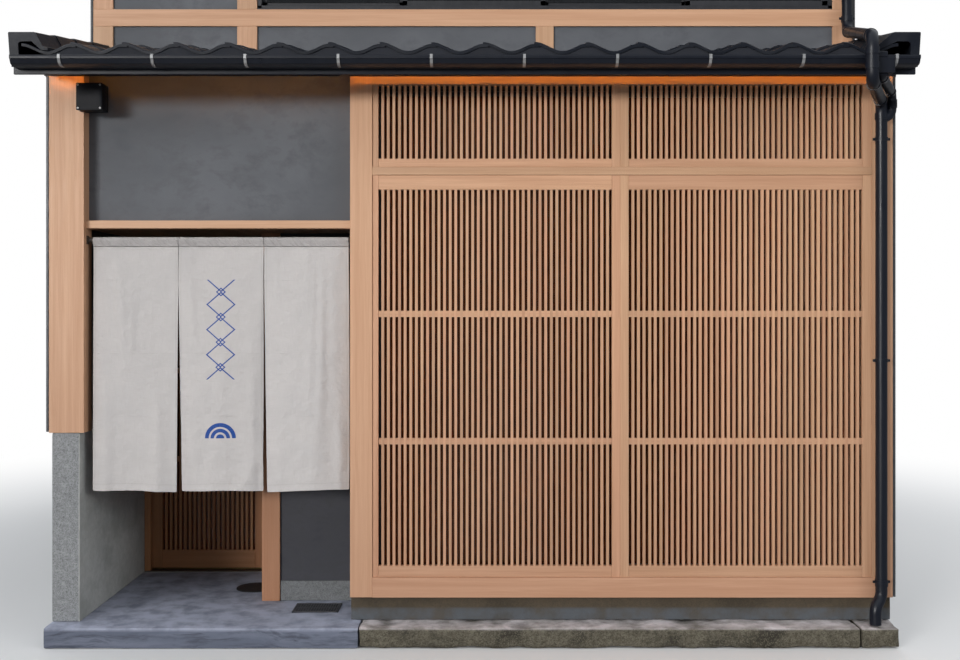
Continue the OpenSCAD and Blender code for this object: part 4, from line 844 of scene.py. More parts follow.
def hemp(name, marked):
    """Unbleached hemp with its lines of stitches, gathers and creases, painted shade on its
    sleeve, and the dyed marks where asked."""
    look, tree, shader = bare(name, Sheen_Weight=0.15, Sheen_Roughness=0.5,
                              Specular_IOR_Level=0.25)
    cloth = wire(tree, "ShaderNodeAttribute", attribute_name="cloth").outputs["Vector"]
    across, down = axis_of(tree, cloth, 0), axis_of(tree, cloth, 1)
    made = wire(tree, "ShaderNodeGroup", {"Cloth": cloth}, node_tree=weave).outputs
    colour = blend_of(tree, made["Color"], (0.53, 0.503, 0.492, 1), (0.605, 0.578, 0.567, 1))
    tint = cloud(tree, cloth, 4.0, 3.0)
    colour = blend_of(tree, spread(tree, tint, 0.4, 0.7, 0, 0.5), colour, (0.50, 0.482, 0.478, 1))
    # Painted shade: the sleeve, where the cloth turns over the pole, is darkened in its colour.
    sleeve = spread(tree, down, 0.069, 0.064)
    colour = blend_of(tree, times(tree, sleeve, 0.5), colour, (0.34, 0.32, 0.32, 1))
    edge = sum_of(tree, "ABSOLUTE", across)
    lines = band(tree, down, 0.067, 0.0012)
    for value, at in ((down, 1.352), (edge, 0.2195)):
        lines = sum_of(tree, "MAXIMUM", lines, band(tree, value, at, 0.0009))
    colour = blend_of(tree, times(tree, lines, 0.22), colour, (0.33, 0.31, 0.27, 1))
    if marked:
        dye = dyed_mark(tree, across, down)
        worn = spread(tree, made["Color"], 0.0, 0.5, 0.8, 1.0)
        colour = blend_of(tree, times(tree, dye, worn), colour, (0.012, 0.066, 0.30, 1))
    crumple = cloud(tree, cloth, 13.0, 4.0, 0.5)
    rise = plus(tree, times(tree, made["Height"], 0.10), times(tree, crumple, 4.0))
    gather = wire(tree, "ShaderNodeMapping", {"Vector": cloth, "Rotation": (0, 0, 0.75)})
    gather = cloud(tree, gather.outputs[0], 1.0, 3.0, 0.5, (55, 8, 1))
    gather = times(tree, gather, plus(tree, sleeve, spread(tree, down, 0.19, 0.06, 0, 0.35)))
    rise = plus(tree, rise, times(tree, gather, 4.0))
    folded = cloud(tree, cloth, 5.0, 3.0, 0.5, (1, 0.3, 1))
    for at in (0.245, 0.641, 0.982):
        off = plus(tree, down, times(tree, folded, 0.014))
        crease = times(tree, band(tree, off, at + 0.007, 0.0004, 0.004),
                       spread(tree, folded, 0.42, 0.55))
        rise = plus(tree, rise, times(tree, crease, 0.35))
    rise = sum_of(tree, "SUBTRACT", rise, times(tree, lines, 0.2))
    feed(tree, shader, colour, spread(tree, made["Color"], 0, 1, 0.82, 0.95), rise, 0.0035)
    return look


def hang(cloth, rows, columns, sleeve_rows):
    """Lets the cloth hang from its sleeve, and keeps the shape that it takes."""
    group = cloth.vertex_groups.new(name="held")
    held = [r * columns + c for r in range(sleeve_rows + 1) for c in range(columns)]
    group.add(held, 1.0, "REPLACE")
    group.add(list(range(held[-1] + 1, rows * columns)), 0.16, "REPLACE")
    soft = cloth.modifiers.new("hang", "CLOTH")
    for key, value in (("quality", 6), ("mass", 0.32), ("tension_stiffness", 30),
                       ("compression_stiffness", 12), ("shear_stiffness", 9),
                       ("bending_stiffness", 0.9), ("air_damping", 2.0),
                       ("vertex_group_mass", "held")):
        setattr(soft.settings, key, value)
    soft.collision_settings.use_collision = False
    soft.collision_settings.use_self_collision = False
    soft.point_cache.frame_start, soft.point_cache.frame_end = 1, FRAMES
    for number in range(1, FRAMES + 1):
        scene.frame_set(number)
    shaped = bpy.data.meshes.new_from_object(cloth.evaluated_get(
        bpy.context.evaluated_depsgraph_get()))
    cloth.modifiers.clear()
    cloth.vertex_groups.clear()
    cloth.data = shaped
    scene.frame_set(1)


def curtain_panel(name, edges, sag, seed, folds, marked=False):
    """Panel between two edges above the slits, which narrows to the other two at its foot
    and hangs lower there by the sag at its left and right. A fold is given by its place
    across, its lean, its width, how far it stands out, and where it begins and ends."""
    x0, x1, foot0, foot1 = (CURTAIN_X + x for x in edges)
    columns, cell = 37, 12.5
    route = [(POLE_Y + 2, SEAM_Z)]
    for a in range(-40, 221, 20):
        a = math.radians(a)
        route.append((POLE_Y + 15.2 * math.cos(a), POLE_Z + 15.2 * math.sin(a)))
    sleeve_rows = len(route)
    route.append((POLE_Y - 1.5, SEAM_Z + 2))
    downs = int((SEAM_Z - HEM_Z) / cell)
    route += [(POLE_Y, SEAM_Z - (SEAM_Z - HEM_Z) * k / downs) for k in range(1, downs + 1)]
    lengths = [0.0]
    for a, b in zip(route, route[1:]):
        lengths.append(lengths[-1] + math.dist(a, b))
    top = lengths[7]  # the sleeve's crest, from which the cloth's own lengths count
    middle = (x0 + x1) / 2
    phase = random.Random(seed).uniform(0, 6.28)
    points, flats = [], []
    for r, (y, z) in enumerate(route):
        drop = max(0.0, (SEAM_Z - z) / (SEAM_Z - HEM_Z)) if r > sleeve_rows else 0.0
        slit = max(0.0, (SLIT_Z - z) / (SLIT_Z - HEM_Z)) if r > sleeve_rows else 0.0
        left, right = x0 + (foot0 - x0) * slit, x1 + (foot1 - x1) * slit
        for c in range(columns):
            u = c / (columns - 1)
            x = left + (right - left) * u
            spot = Vector((x * 0.0075, drop * 2.2, seed * 5.3))
            wave = (noise.noise(spot) * 9 + noise.noise(spot * 2.7) * 4.5) * drop ** 0.8
            wave += 2.0 * drop * math.sin(2 * math.pi * (2.1 * u + 0.5 * drop) + phase)
            for at, lean, wide, out, begin, end in folds:
                length = min(1.0, max(0.0, (drop - begin) / (end - begin)))
                wave -= (out * math.sin(math.pi * length) ** 0.6
                         * math.exp(-((u - at - lean * drop) / wide) ** 2))
            pinch = 1.6 * math.exp(-((drop - 0.012) / 0.03) ** 2) * noise.noise(
                Vector((x * 0.035, 0.3, seed)))
            low = (sag[0] * (1 - u) + sag[1] * u - 6 * math.sin(math.pi * u)) * drop ** 3
            points.append((x * 0.001, (y + wave + pinch) * 0.001, (z - low) * 0.001))
            flats.append(((x - middle) * 0.001, (lengths[r] - top) * 0.001, 0))
    faces = [(r * columns + c, r * columns + c + 1, (r + 1) * columns + c + 1,
              (r + 1) * columns + c) for r in range(len(route) - 1) for c in range(columns - 1)]
    mesh = bpy.data.meshes.new(name)
    mesh.from_pydata(points, [], faces)
    mesh.attributes.new("cloth", "FLOAT_VECTOR", "POINT").data.foreach_set(
        "vector", np.array(flats).ravel())
    cloth = bpy.data.objects.new(name, mesh)
    scene.collection.objects.link(cloth)
    hang(cloth, len(route), columns, sleeve_rows)
    cloth.data.polygons.foreach_set("use_smooth", [True] * len(cloth.data.polygons))
    cloth.data.materials.clear()
    cloth.data.materials.append(hemp(name + "_hemp", marked))
    thick = cloth.modifiers.new("thickness", "SOLIDIFY")
    thick.thickness = 0.0012
    thick.offset = 0
    fine = cloth.modifiers.new("soft", "SUBSURF")
    fine.levels = fine.render_levels = 1
    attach(cloth, "house")
    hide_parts(name)


curtain_panel("curtain_left", (0, 466, 0, 458), (2, 11), 3,
              [(0.5, 0, 0.45, 26, 0.0, 1.6), (0.27, 0.35, 0.12, 18, -0.05, 0.5),
               (1.1, -2.0, 0.08, 8, -0.02, 0.24), (0.13, 0.02, 0.10, 20, 0.4, 1.3),
               (0.82, -0.05, 0.10, 20, 0.62, 1.4), (0.5, 0, 0.12, -12, 0.55, 1.5)])
curtain_panel("curtain_middle", (467, 932, 484, 928), (6, 7), 7,
              [(0.40, 0, 0.42, 28, 0.0, 1.6), (0.06, 0.45, 0.09, 14, -0.05, 0.45),
               (1.0, 0, 0.10, -16, 0.2, 1.2), (0.02, 0, 0.07, -14, 0.45, 1.3),
               (-0.67, 0.95, 0.09, 15, 0.66, 1.3), (2.39, -1.67, 0.10, 13, 0.72, 1.3)], True)
curtain_panel("curtain_right", (933, 1397, 952, 1397), (10, 0), 12,
              [(0.26, 0.1, 0.34, 30, 0.0, 1.6), (1.06, 0, 0.26, -34, 0.0, 1.1),
               (0.52, -2.9, 0.11, 11, -0.02, 0.22), (0.12, 0.05, 0.09, 14, 0.6, 1.4),
               (0.62, 0.0, 0.10, 9, 0.35, 1.3), (0.9, 0.0, 0.07, 12, 0.55, 1.3)])

# Pent roof frame: ten rafters that rise to the upper wall, sheathing boards laid across
# them, and a fascia clad in black sheet, which carries the gutter.
PENT_TILT, RAFTER_FOOT, UPPER_Y = math.atan(PENT_RISE), -400, 680
DECK_X0, DECK_X1 = -2310, 2260
eave_timber = timber("eave_timber", (0.30, 0.18, 0.105), (0.17, 0.09, 0.05), 0.7)
black_sheet = coated("black_sheet", (0.0045, 0.006, 0.011), (0.015, 0.019, 0.03), 0.36, 0.16,
                     sheen=0.3)
RAFTERS = [-2235.5 + i * 4471 / 9 for i in range(10)]


def slope_boards(parts, first, last, angle, low, thick, across, x0, x1, rear=None):
    """Boards side by side up a slope, from depth first to last, on a plane at height low."""
    count = round((last - first) / math.cos(angle) / across)
    for i in range(count):
        step = (last - first) / math.cos(angle) / count
        a, b = first + step * i + 0.4, first + step * (i + 1) - 0.4
        if rear is None:
            parts.plank(x0, x1, a, b, low, low + thick, turn=tilt(angle, first, low))
        else:
            parts.plank(x0, x1, rear - b, rear - a, low, low + thick,
                        turn=tilt(-angle, rear - first, low))


pent_frame = Joinery(61)
for x in RAFTERS:
    slope_boards(pent_frame, RAFTER_FOOT + 15, UPPER_Y - 1, PENT_TILT, 3025, 46.4, 2000, x - 22.5,
                 x + 22.5)
pent_frame.done("pent_rafters", eave_timber, "eave_timber")
pent_boards = Joinery(62)
slope_boards(pent_boards, RAFTER_FOOT, UPPER_Y - 1, PENT_TILT, 3070.5, 23, 137, DECK_X0, DECK_X1)
pent_boards.done("pent_deck", eave_timber, "eave_timber")
fascia = Joinery(60)
fascia.plank(DECK_X0, DECK_X1, RAFTER_FOOT, RAFTER_FOOT + 15, 2996, 3070, chamfer=2)
for edge in (DECK_X0 - 1, DECK_X1 - 1):
    fascia.plank(edge, edge + 2, RAFTER_FOOT, UPPER_Y - 1, 3071, 3093,
                 turn=tilt(PENT_TILT, RAFTER_FOOT, 3071), chamfer=0.5)
fascia.done("pent_fascia", black_sheet, "black_sheet")

# Eave light: a warm strip in a thin channel under the rafters, which lights the head beam.
# It runs in two lengths, over the lattice and over the entrance.


def make_glow(name, colour, strength):
    """A translucent cover over a row of small lights."""
    look, tree, shader, grain, tone = shade(name, Roughness=0.4)
    dots = spread(tree, cloud(tree, grain, 60.0, 2.0), 0.35, 0.65, 0.75, 1.0)
    tree.links.new(blend_of(tree, dots, (0.5, 0.4, 0.3, 1), (0.8, 0.75, 0.68, 1)),
                   shader.inputs["Base Color"])
    tree.links.new(blend_of(tree, times(tree, dots, tone), (0, 0, 0, 1), (*colour, 1)),
                   shader.inputs["Emission Color"])
    shader.inputs["Emission Strength"].default_value = strength
    return look


strip, channel = Joinery(59), Joinery(58)
for x0, x1, lip in ((-650, 2280, -50), (-2285, -700, -58)):
    strip.plank(x0, x1, -68, -62, 3065, 3069, chamfer=0.5, tone=1.0)
    channel.planks((x0, x1, -72, -70, 3056, 3073), (x0, x1, -70, lip, 3056, 3058),
                   (x0, x1, -70, -60, 3071, 3073), chamfer=0.4)
glow = strip.done("eave_light", make_glow("eave_glow", (1.0, 0.35, 0.012), 27), "black_sheet")
glow.visible_glossy = False
channel.done("eave_light_channel", black_sheet, "black_sheet")

# Roof tiles: black glazed wave tiles, each lapped over the one below and, at the crest of
# its wave, over its neighbour. A grey filler closes the waves at the eave; it is coloured near
# black, as painted shade under the tiles' rims.
X_WAVES, WAVE, WAVES, CREST = -2128, 260, 16, 40


def wave(x):
    return CREST / 2 * (1 - math.cos(2 * math.pi * (x - X_WAVES) / WAVE))


class Slope:
    """Places points given up the slope and over its boards; back gives the rear slope."""

    def __init__(self, y, z, angle, back=None):
        self.y, self.z, self.angle, self.back = y, z, angle, back

    def at(self, x, up, over):
        y = self.y + up * math.cos(self.angle) - over * math.sin(self.angle)
        z = self.z + up * math.sin(self.angle) + over * math.cos(self.angle)
        return (x, y if self.back is None else self.back - y, z)


def shell(parts, slope, rows, top, low, tone):
    """A closed plate between two grids of points; both are given as rows of (x, up, over)."""
    columns = len(top[0])
    points = [slope.at(*p) for grid in (top, low) for row in grid for p in row]
    size = rows * columns
    faces = []
    for r in range(rows - 1):
        for c in range(columns - 1):
            a, b = r * columns + c, (r + 1) * columns + c
            faces.append([a, a + 1, b + 1, b])
            faces.append([size + a, size + b, size + b + 1, size + a + 1])
    for c in range(columns - 1):
        a, b = c, (rows - 1) * columns + c
        faces.append([a, size + a, size + a + 1, a + 1])
        faces.append([b, b + 1, size + b + 1, size + b])
    for r in range(rows - 1):
        a, b = r * columns, (r + 1) * columns
        faces.append([a, b, size + b, size + a])
        a, b = a + columns - 1, b + columns - 1
        faces.append([a, size + a, size + b, b])
    if slope.back is not None:
        faces = [face[::-1] for face in faces]
    parts.add(points, faces, None, tone, smooth=True)


def wave_tile(parts, slope, x0, x1, up0, up1, front, rear, steps):
    """One tile; front and rear are its underside and top over the boards at its two ends."""
    lap0 = x0 - 14 if x0 > X_WAVES else x0
    lap1 = x1 + 12 if x1 < X_WAVES + WAVE * WAVES else x1
    sway = parts.draw.uniform(-0.8, 0.8)
    xs = [lap0 + (lap1 - lap0) * i / steps for i in range(steps + 1)]
    ups = [up0, up0 + 4, up0 + 14, (up0 + up1) / 2, up1]

    def lap(x):
        near = max(0, 1 - (x - lap0) / 44) if lap0 < x0 else 0
        far = max(0, 1 - (lap1 - x) / 44) if lap1 > x1 else 0
        return 5.5 * near ** 0.7 - 5.0 * far ** 0.7

    def layer(ends, ease):
        rows = []
        for up in ups:
            share = (up - up0) / (up1 - up0)
            over = ends[0] + (ends[1] - ends[0]) * share - (ease if up == up0 else 0) + sway
            rows.append([(x, up + sway, wave(x) + over + lap(x)) for x in xs])
        return rows

    shell(parts, slope, len(ups), layer((front[1], rear[1]), 3), layer((front[0], rear[0]), -1),
          None)


def lay_tiles(parts, slope, length, courses, steps=14):
    """All courses of wave tiles, from the eave up, each tile from crest to crest."""
    gauge = length / courses
    crests = [X_WAVES + WAVE * (i - 0.5) for i in range(WAVES + 2)]
    for course in range(courses):
        up0 = course * gauge
        up1 = min(up0 + gauge + 34, length)
        front = (0.6, 18) if course == 0 else (7, 21)
        for x0, x1 in zip(crests, crests[1:]):
            wave_tile(parts, slope, x0, x1, up0, up1, front, (0.6, 10), steps)


def extrude(parts, slope, outline, up0, up1, lift=(0, 0), inset=(0, 0), tone=None):
    """A closed outline of (x, over) carried up the slope, narrowed at either end."""
    middle = sum(x for x, _ in outline) / len(outline)
    points, count = [], len(outline)
    for up, rise, pull in ((up0, lift[0], inset[0]), (up1, lift[1], inset[1])):
        for x, over in outline:
            points.append(slope.at(x + math.copysign(pull, middle - x), up, over + rise - pull))
    faces = [list(range(count)), list(range(count, 2 * count))[::-1]]
    for i in range(count):
        j = (i + 1) % count
        faces.append([i, count + i, count + j, j])
    area = sum(a[0] * b[1] - b[0] * a[1] for a, b in zip(outline, outline[1:] + outline[:1]))
    if (area > 0) != (slope.back is None):
        faces = [face[::-1] for face in faces]
    parts.add(points, faces, None, tone)


def verge(edge, width, side, skirt, inside):
    """Outline of a verge tile: a skirt over the boards' edge, a hood and a foot on the
    tiles, closed by the points of its inside."""
    turns = [(0, skirt), (0, 106), (1.5, 110), (6, 112), (130, 112), (137, 109), (width - 24, 43),
             (width - 14, 37), (width, 36), (width, 22)] + inside
    return [(edge + side * x, over) for x, over in turns]


def lay_verges(parts, slope, length, courses, right):
    """Both rows of verge tiles; the lowest ones have a thick rim at their front."""
    gauge = length / courses
    for course in range(courses):
        up0, up1 = course * gauge, min((course + 1) * gauge + 30, length)
        tone = parts.draw.random()
        for edge, width, side in ((-2322, 194, 1), (right, right - 2032, -1)):
            if course == 0:
                rim = verge(edge, width, side, -14,
                            [(width - 34, 24), (116, 66), (62, 66), (50, 60), (46, 50), (46, -14)])
                extrude(parts, slope, rim, 0, 15, tone=tone)
            hood = verge(edge, width, side, -60,
                         [(width - 26, 24), (128, 100), (12, 100), (12, -60)])
            extrude(parts, slope, hood, up0 + 15 * (course == 0), up1,
                    (0 if course == 0 else 3, 0), (0, 2.5 if up1 < length else 0.5), tone)


def lay_filler(parts, slope):
    count = WAVES * 8
    outline = [(X_WAVES + WAVE * WAVES, -12), (X_WAVES, -12)] + [
        (X_WAVES + i * WAVE / 8, wave(X_WAVES + i * WAVE / 8) + 3) for i in range(count + 1)]
    extrude(parts, slope, outline, 7, 17, tone=0.5)


def glazed(name, base, pale):
    """Smoked or glazed clay: deep grey, soft shine, each tile a little different."""
    look, tree, shader, grain, tone = shade(name, Specular_IOR_Level=0.24)
    mottle = cloud(tree, grain, 7.0, 5.0, 0.62)
    fine = cloud(tree, grain, 90.0, 4.0)
    dust = spread(tree, mottle, 0.46, 0.74, 0, 0.22)
    colour = blend_of(tree, spread(tree, tone, 0, 1, 0.0, 0.4), (*base, 1), (*pale, 1))
    colour = blend_of(tree, dust, colour, (0.065, 0.068, 0.075, 1))
    gloss = plus(tree, spread(tree, fine, 0.3, 0.7, 0.32, 0.45), times(tree, dust, 0.5))
    feed(tree, shader, colour, gloss, plus(tree, mottle, times(tree, fine, 0.3)), 0.0012)
    return look


roof_tile = glazed("roof_tile", (0.007, 0.009, 0.0145), (0.014, 0.017, 0.026))
# Painted shade: the filler is coloured near black for the shade under the lowest tiles.
filler = masonry("eave_filler", weathered, 0.0005, Base=(0.014, 0.016, 0.023),
                 Pale=(0.021, 0.024, 0.033), Dark=(0.010, 0.011, 0.016), Stain=0.3, Grit=0.1)
PENT_LENGTH = 1100 / math.cos(PENT_TILT)
pent_slope = Slope(-420, 3090.6, PENT_TILT)
tiles = Joinery(63)
lay_tiles(tiles, pent_slope, PENT_LENGTH, 4, 18)
tiles.done("pent_tiles", roof_tile, "roof_tile")
closing = Joinery(64)
lay_filler(closing, pent_slope)
closing.done("pent_filler", filler, "roof_tile")
verges = Joinery(65)
lay_verges(verges, pent_slope, PENT_LENGTH, 4, 2272)
verges.done("pent_verges", roof_tile, "roof_tile")

# Gutters: black gutters of bent coated sheet, with a raised band along the lip, a front
# that leans back and closed ends; they hang from galvanised straps nailed to the fascia.
galvanised = coated("galvanised", (0.36, 0.365, 0.37), (0.22, 0.225, 0.23), 0.45, 0.6, 0.5)


def along_front(parts, x0, x1, outline, mirror=None, tone=None):
    """A closed side outline of (y, z) carried from x0 to x1; mirror gives its rear copy."""
    if mirror is not None:
        outline = [(mirror - y, z) for y, z in outline]
    count = len(outline)
    points = [(x, y, z) for x in (x0, x1) for y, z in outline]
    faces = [list(range(count))[::-1], list(range(count, 2 * count))]
    faces += [[i, (i + 1) % count, count + (i + 1) % count, count + i] for i in range(count)]
    area = sum(a[0] * b[1] - b[0] * a[1] for a, b in zip(outline, outline[1:] + outline[:1]))
    if area < 0:
        faces = [face[::-1] for face in faces]
    parts.add(points, faces, None, tone)


def lay_gutter(parts, straps, back, top, mirror=None):
    """One gutter with its ends, sleeves and straps."""
    front, low = back - 120, top - 50
    side = [(back, low), (front + 49, low), (front + 34, low + 3), (front + 18, low + 8),
            (front + 14, low + 11), (front + 5.5, top - 21), (front + 4, top - 19),
            (front, top - 18)]
    inner = [(back - 3, low + 3), (front + 49, low + 3), (front + 21, low + 11),
             (front + 9, top - 20), (front + 9, top - 6)]
    trough = [(back, top)] + side + [(front - 1, top - 8), (front, top - 1), (front + 2, top),
             (front + 12, top), (front + 12, top - 5)] + inner[::-1] + [(back - 3, top)]
    along_front(parts, -2281, 2240, trough, mirror, 0.4)
    for x in (-2282, 2237):
        along_front(parts, x, x + 4, [(back, top)] + side + [(front, top)], mirror, 0.5)
    for x in (-1080, 420, 1750):
        sleeve = [(y - 1.6, z - 1.6) for y, z in side[1:7]] + [
            (y + 1, z + 1) for y, z in side[6:0:-1]]
        along_front(parts, x, x + 46, sleeve, mirror, 0.5)
    for i in range(10):
        x = -2043 + i * 4159 / 9
        hook = [(back, top), (back, top + 3), (front - 2, top + 3), (front - 4, top + 1),
                (front - 4, top - 19), (front + 1, top - 24), (front + 10, low + 9),
                (front + 30, low - 0.5), (front + 60, low - 3), (front + 60, low),
                (front + 34, low + 2.5), (front + 15, low + 9.5), (front + 4.5, top - 21.5),
                (front - 1, top - 16), (front - 0.5, top)]
        along_front(straps, x, x + 14, hook, mirror)


MAIN_BACK = 7080
gutters, straps = Joinery(66), Joinery(67)
lay_gutter(gutters, straps, RAFTER_FOOT, 3069)
lay_gutter(gutters, straps, 100, 5037)
lay_gutter(gutters, straps, 100, 5037, MAIN_BACK)
gutters.done("gutters", black_sheet, "black_sheet")
straps.done("gutter_hangers", galvanised, "galvanised")

# Downpipes: black pipes of 62 mm with swept bends, sockets at their joints and clips on
# the wall. One comes down from the main gutter over the pent roof; a short one joins it
# from the hopper that encloses the pent gutter's end.


def bends(route, reach):
    """The route with its corners rounded."""
    path = [Vector(route[0])]
    for a, b, c in zip(route, route[1:], route[2:]):
        a, b, c = Vector(a), Vector(b), Vector(c)
        turn = min(reach, 0.48 * (a - b).length, 0.48 * (c - b).length)
        start, end = b + turn * (a - b).normalized(), b + turn * (c - b).normalized()
        for k in range(9):
            t = k / 8
            path.append((1 - t) ** 2 * start + 2 * t * (1 - t) * b + t * t * end)
    path.append(Vector(route[-1]))
    return path


def tube(parts, path, radius, sides=24, wall=3, tone=0.3):
    """A round pipe along a path, open at its ends, with the thickness of its wall."""
    rings, side = [], None
    for i, spot in enumerate(path):
        ahead = (path[min(i + 1, len(path) - 1)] - path[max(i - 1, 0)]).normalized()
        side = ahead.orthogonal() if side is None else side - ahead * side.dot(ahead)
        side.normalize()
        rings.append((spot, side.copy(), ahead.cross(side), radius))
    for spot, u, v, r in (rings[0], rings[-1]):
        way = u.cross(v) * (10 if spot is rings[0][0] else -10)
        ends = [(spot, u, v, radius - wall), (spot + way, u, v, radius - wall)]
        rings = ends[::-1] + rings if spot is rings[0][0] else rings + ends
    points = []
    for spot, u, v, r in rings:
        points += [tuple(spot + r * (math.cos(a) * u + math.sin(a) * v))
                   for a in (2 * math.pi * k / sides for k in range(sides))]
    faces = [[j * sides + k, j * sides + (k + 1) % sides, (j + 1) * sides + (k + 1) % sides,
              (j + 1) * sides + k] for j in range(len(rings) - 1) for k in range(sides)]
    last = (len(rings) - 1) * sides
    faces += [list(range(sides))[::-1], list(range(last, last + sides))]
    parts.add(points, faces, None, tone, smooth=True)


def sockets(parts, route, radius, reach):
    """A collar on each side of every bend."""
    for a, b, c in zip(route, route[1:], route[2:]):
        b = Vector(b)
        for other in (Vector(a), Vector(c)):
            way = (other - b).normalized()
            if (other - b).length > 2.2 * reach:
                start = b + way * reach
                tube(parts, [start, start + way * 34], radius + 3.5, 24, 3.5, 0.45)


def clip(parts, x, y, wall, z, radius):
    """A band round the pipe with its bolted arm to the wall."""
    tube(parts, [Vector((x, y, z)), Vector((x, y, z + 18))], radius + 4, 24, 4, 0.6)
    parts.plank(x - 10, x + 10, y + radius + 1, wall, z + 1, z + 17, chamfer=1)
    for side in (-1, 1):
        ear = x + side * (radius + 9)
        parts.plank(ear - 7, ear + 7, y - 3, y + 3, z + 2, z + 16, chamfer=1)


pipes = Joinery(68)
PIPE_X, PIPE_Y, UP_X, UP_Y = 2208, -50, 2239, 630
LONG = [(UP_X, 40, 4987), (UP_X, 40, 4877), (UP_X, UP_Y, 4607), (UP_X, UP_Y, 3462),
        (1985, -565, 3153.6), (1985, -565, 2929), (PIPE_X, PIPE_Y, 2917), (PIPE_X, PIPE_Y, 258),
        (2166, -80, 210), (2166, -80, 118)]
SHORT = [(2056, -489, 3010), (2056, -489, 2972), (2263, PIPE_Y, 2965), (2263, PIPE_Y, 2852),
         (PIPE_X, PIPE_Y, 2822)]
for route, radius, reach in ((LONG, 31, 59), (SHORT, 25, 44)):
    tube(pipes, bends(route, reach), radius)
    sockets(pipes, route, radius, reach)
for x, y, wall, heights in ((PIPE_X, PIPE_Y, 0, (2709, 1520, 331)),
                            (UP_X, UP_Y, UPPER_Y, (3532, 4810))):
    for z in heights:
        clip(pipes, x, y, wall, z, 31)
for x0, x1, y0, y1, z0, z1, edge in ((2003, 2109, -520.5, -444, 2977, 3018, 3),
                                     (2003, 2109, -534, -521, 2977, 3055, 2),
                                     (2003, 2072, -534, -521, 3055.2, 3083, 2),
                                     (2030, 2082, -515, -463, 2966, 2979, 5)):
    pipes.plank(x0, x1, y0, y1, z0, z1, chamfer=edge)
pipes.done("downpipes", black_sheet, "black_sheet")

# Junction box at the top of the left post: a moulded case of black plastic, whose lid is
# held by four screws.
plastic = coated("black_plastic", (0.007, 0.008, 0.011), (0.02, 0.021, 0.026), 0.5, 0.15,
                 sheen=0.15)
case = Joinery(69)
for low, high, cell, rounding in (((-2110, -72, 2870), (-1971, 0, 3016), 15, 6),
                                  ((-2097.5, -10, 2870), (-1971, 25, 3016), 15, 6),
                                  ((-2111, -85, 2869), (-1970, -70, 3017), 8, 5)):
    cast_block(case, low, high, cell, rounding, 0, 3)
case.plank(ENTRY_X, -2015, 20, 79.5, 2886, 3000, chamfer=2)
case.done("junction_box", plastic, "black_sheet")
screws = Joinery(70)
for x in (-2100, -1981):
    for z in (2881, 3005):
        disc(screws, (x, -88, z), 1, 5.5, 4, 14, 1)
screws.done("junction_box_screws", galvanised, "galvanised")

# Upper front frame: three cedar posts, the ledger over the pent roof, sill and head beams
# and the roof plate, tenoned together, with a short stud under and over the window.
upper = Joinery(71)
FLOOR_TOP, WINDOW_Z, WINDOW_TOP, PLATE_Z, PLATE_TOP = 3120, 3610, 4810, 5102, 5222
LEDGER_TOP, UPPER_SILL_Z, HEAD_TOP, LAST_POST = 3286, 3508, 4912, OUTER - POST
for x in (-OUTER, -1420, LAST_POST):
    for z0, z1 in ((LEDGER_TOP, UPPER_SILL_Z), (WINDOW_Z, WINDOW_TOP), (HEAD_TOP, PLATE_Z)):
        upper.plank(x, x + POST, UPPER_Y + 0.5, UPPER_Y + POST, z0, z1, chamfer=2)
for z0, z1 in ((FLOOR_TOP, LEDGER_TOP), (UPPER_SILL_Z, WINDOW_Z), (WINDOW_TOP, HEAD_TOP),
               (PLATE_Z, PLATE_TOP)):
    upper.plank(-OUTER, OUTER, UPPER_Y, UPPER_Y + POST, z0, z1, chamfer=2)
for z0, z1 in ((LEDGER_TOP, UPPER_SILL_Z), (HEAD_TOP, PLATE_Z)):
    upper.plank(380, 488, UPPER_Y + 0.5, UPPER_Y + POST, z0, z1, chamfer=2)
upper.done("upper_front_frame", cedar, "cedar")
dress("upper_plaster", plaster)

# Upper floor: planed softwood boards that run from front to back, laid on one plain slab
# that stands for the joists.
floor_boards = timber("floor_boards", (0.48, 0.31, 0.18), (0.32, 0.18, 0.09))
boards = Joinery(72)
FLOOR_PITCH, FLOOR_Z, BACK_Y = 2 * INNER / 30, 3000, 6280
for i in range(30):
    x = -INNER + FLOOR_PITCH * i
    boards.plank(x + 0.5, x + 141, UPPER_Y, BACK_Y, 3096, FLOOR_TOP, chamfer=1.5, along=1)
boards.plank(-INNER, INNER, UPPER_Y, BACK_Y, FLOOR_Z, 3095, chamfer=1, along=1)
boards.done("upper_floor", floor_boards, "floor_boards")

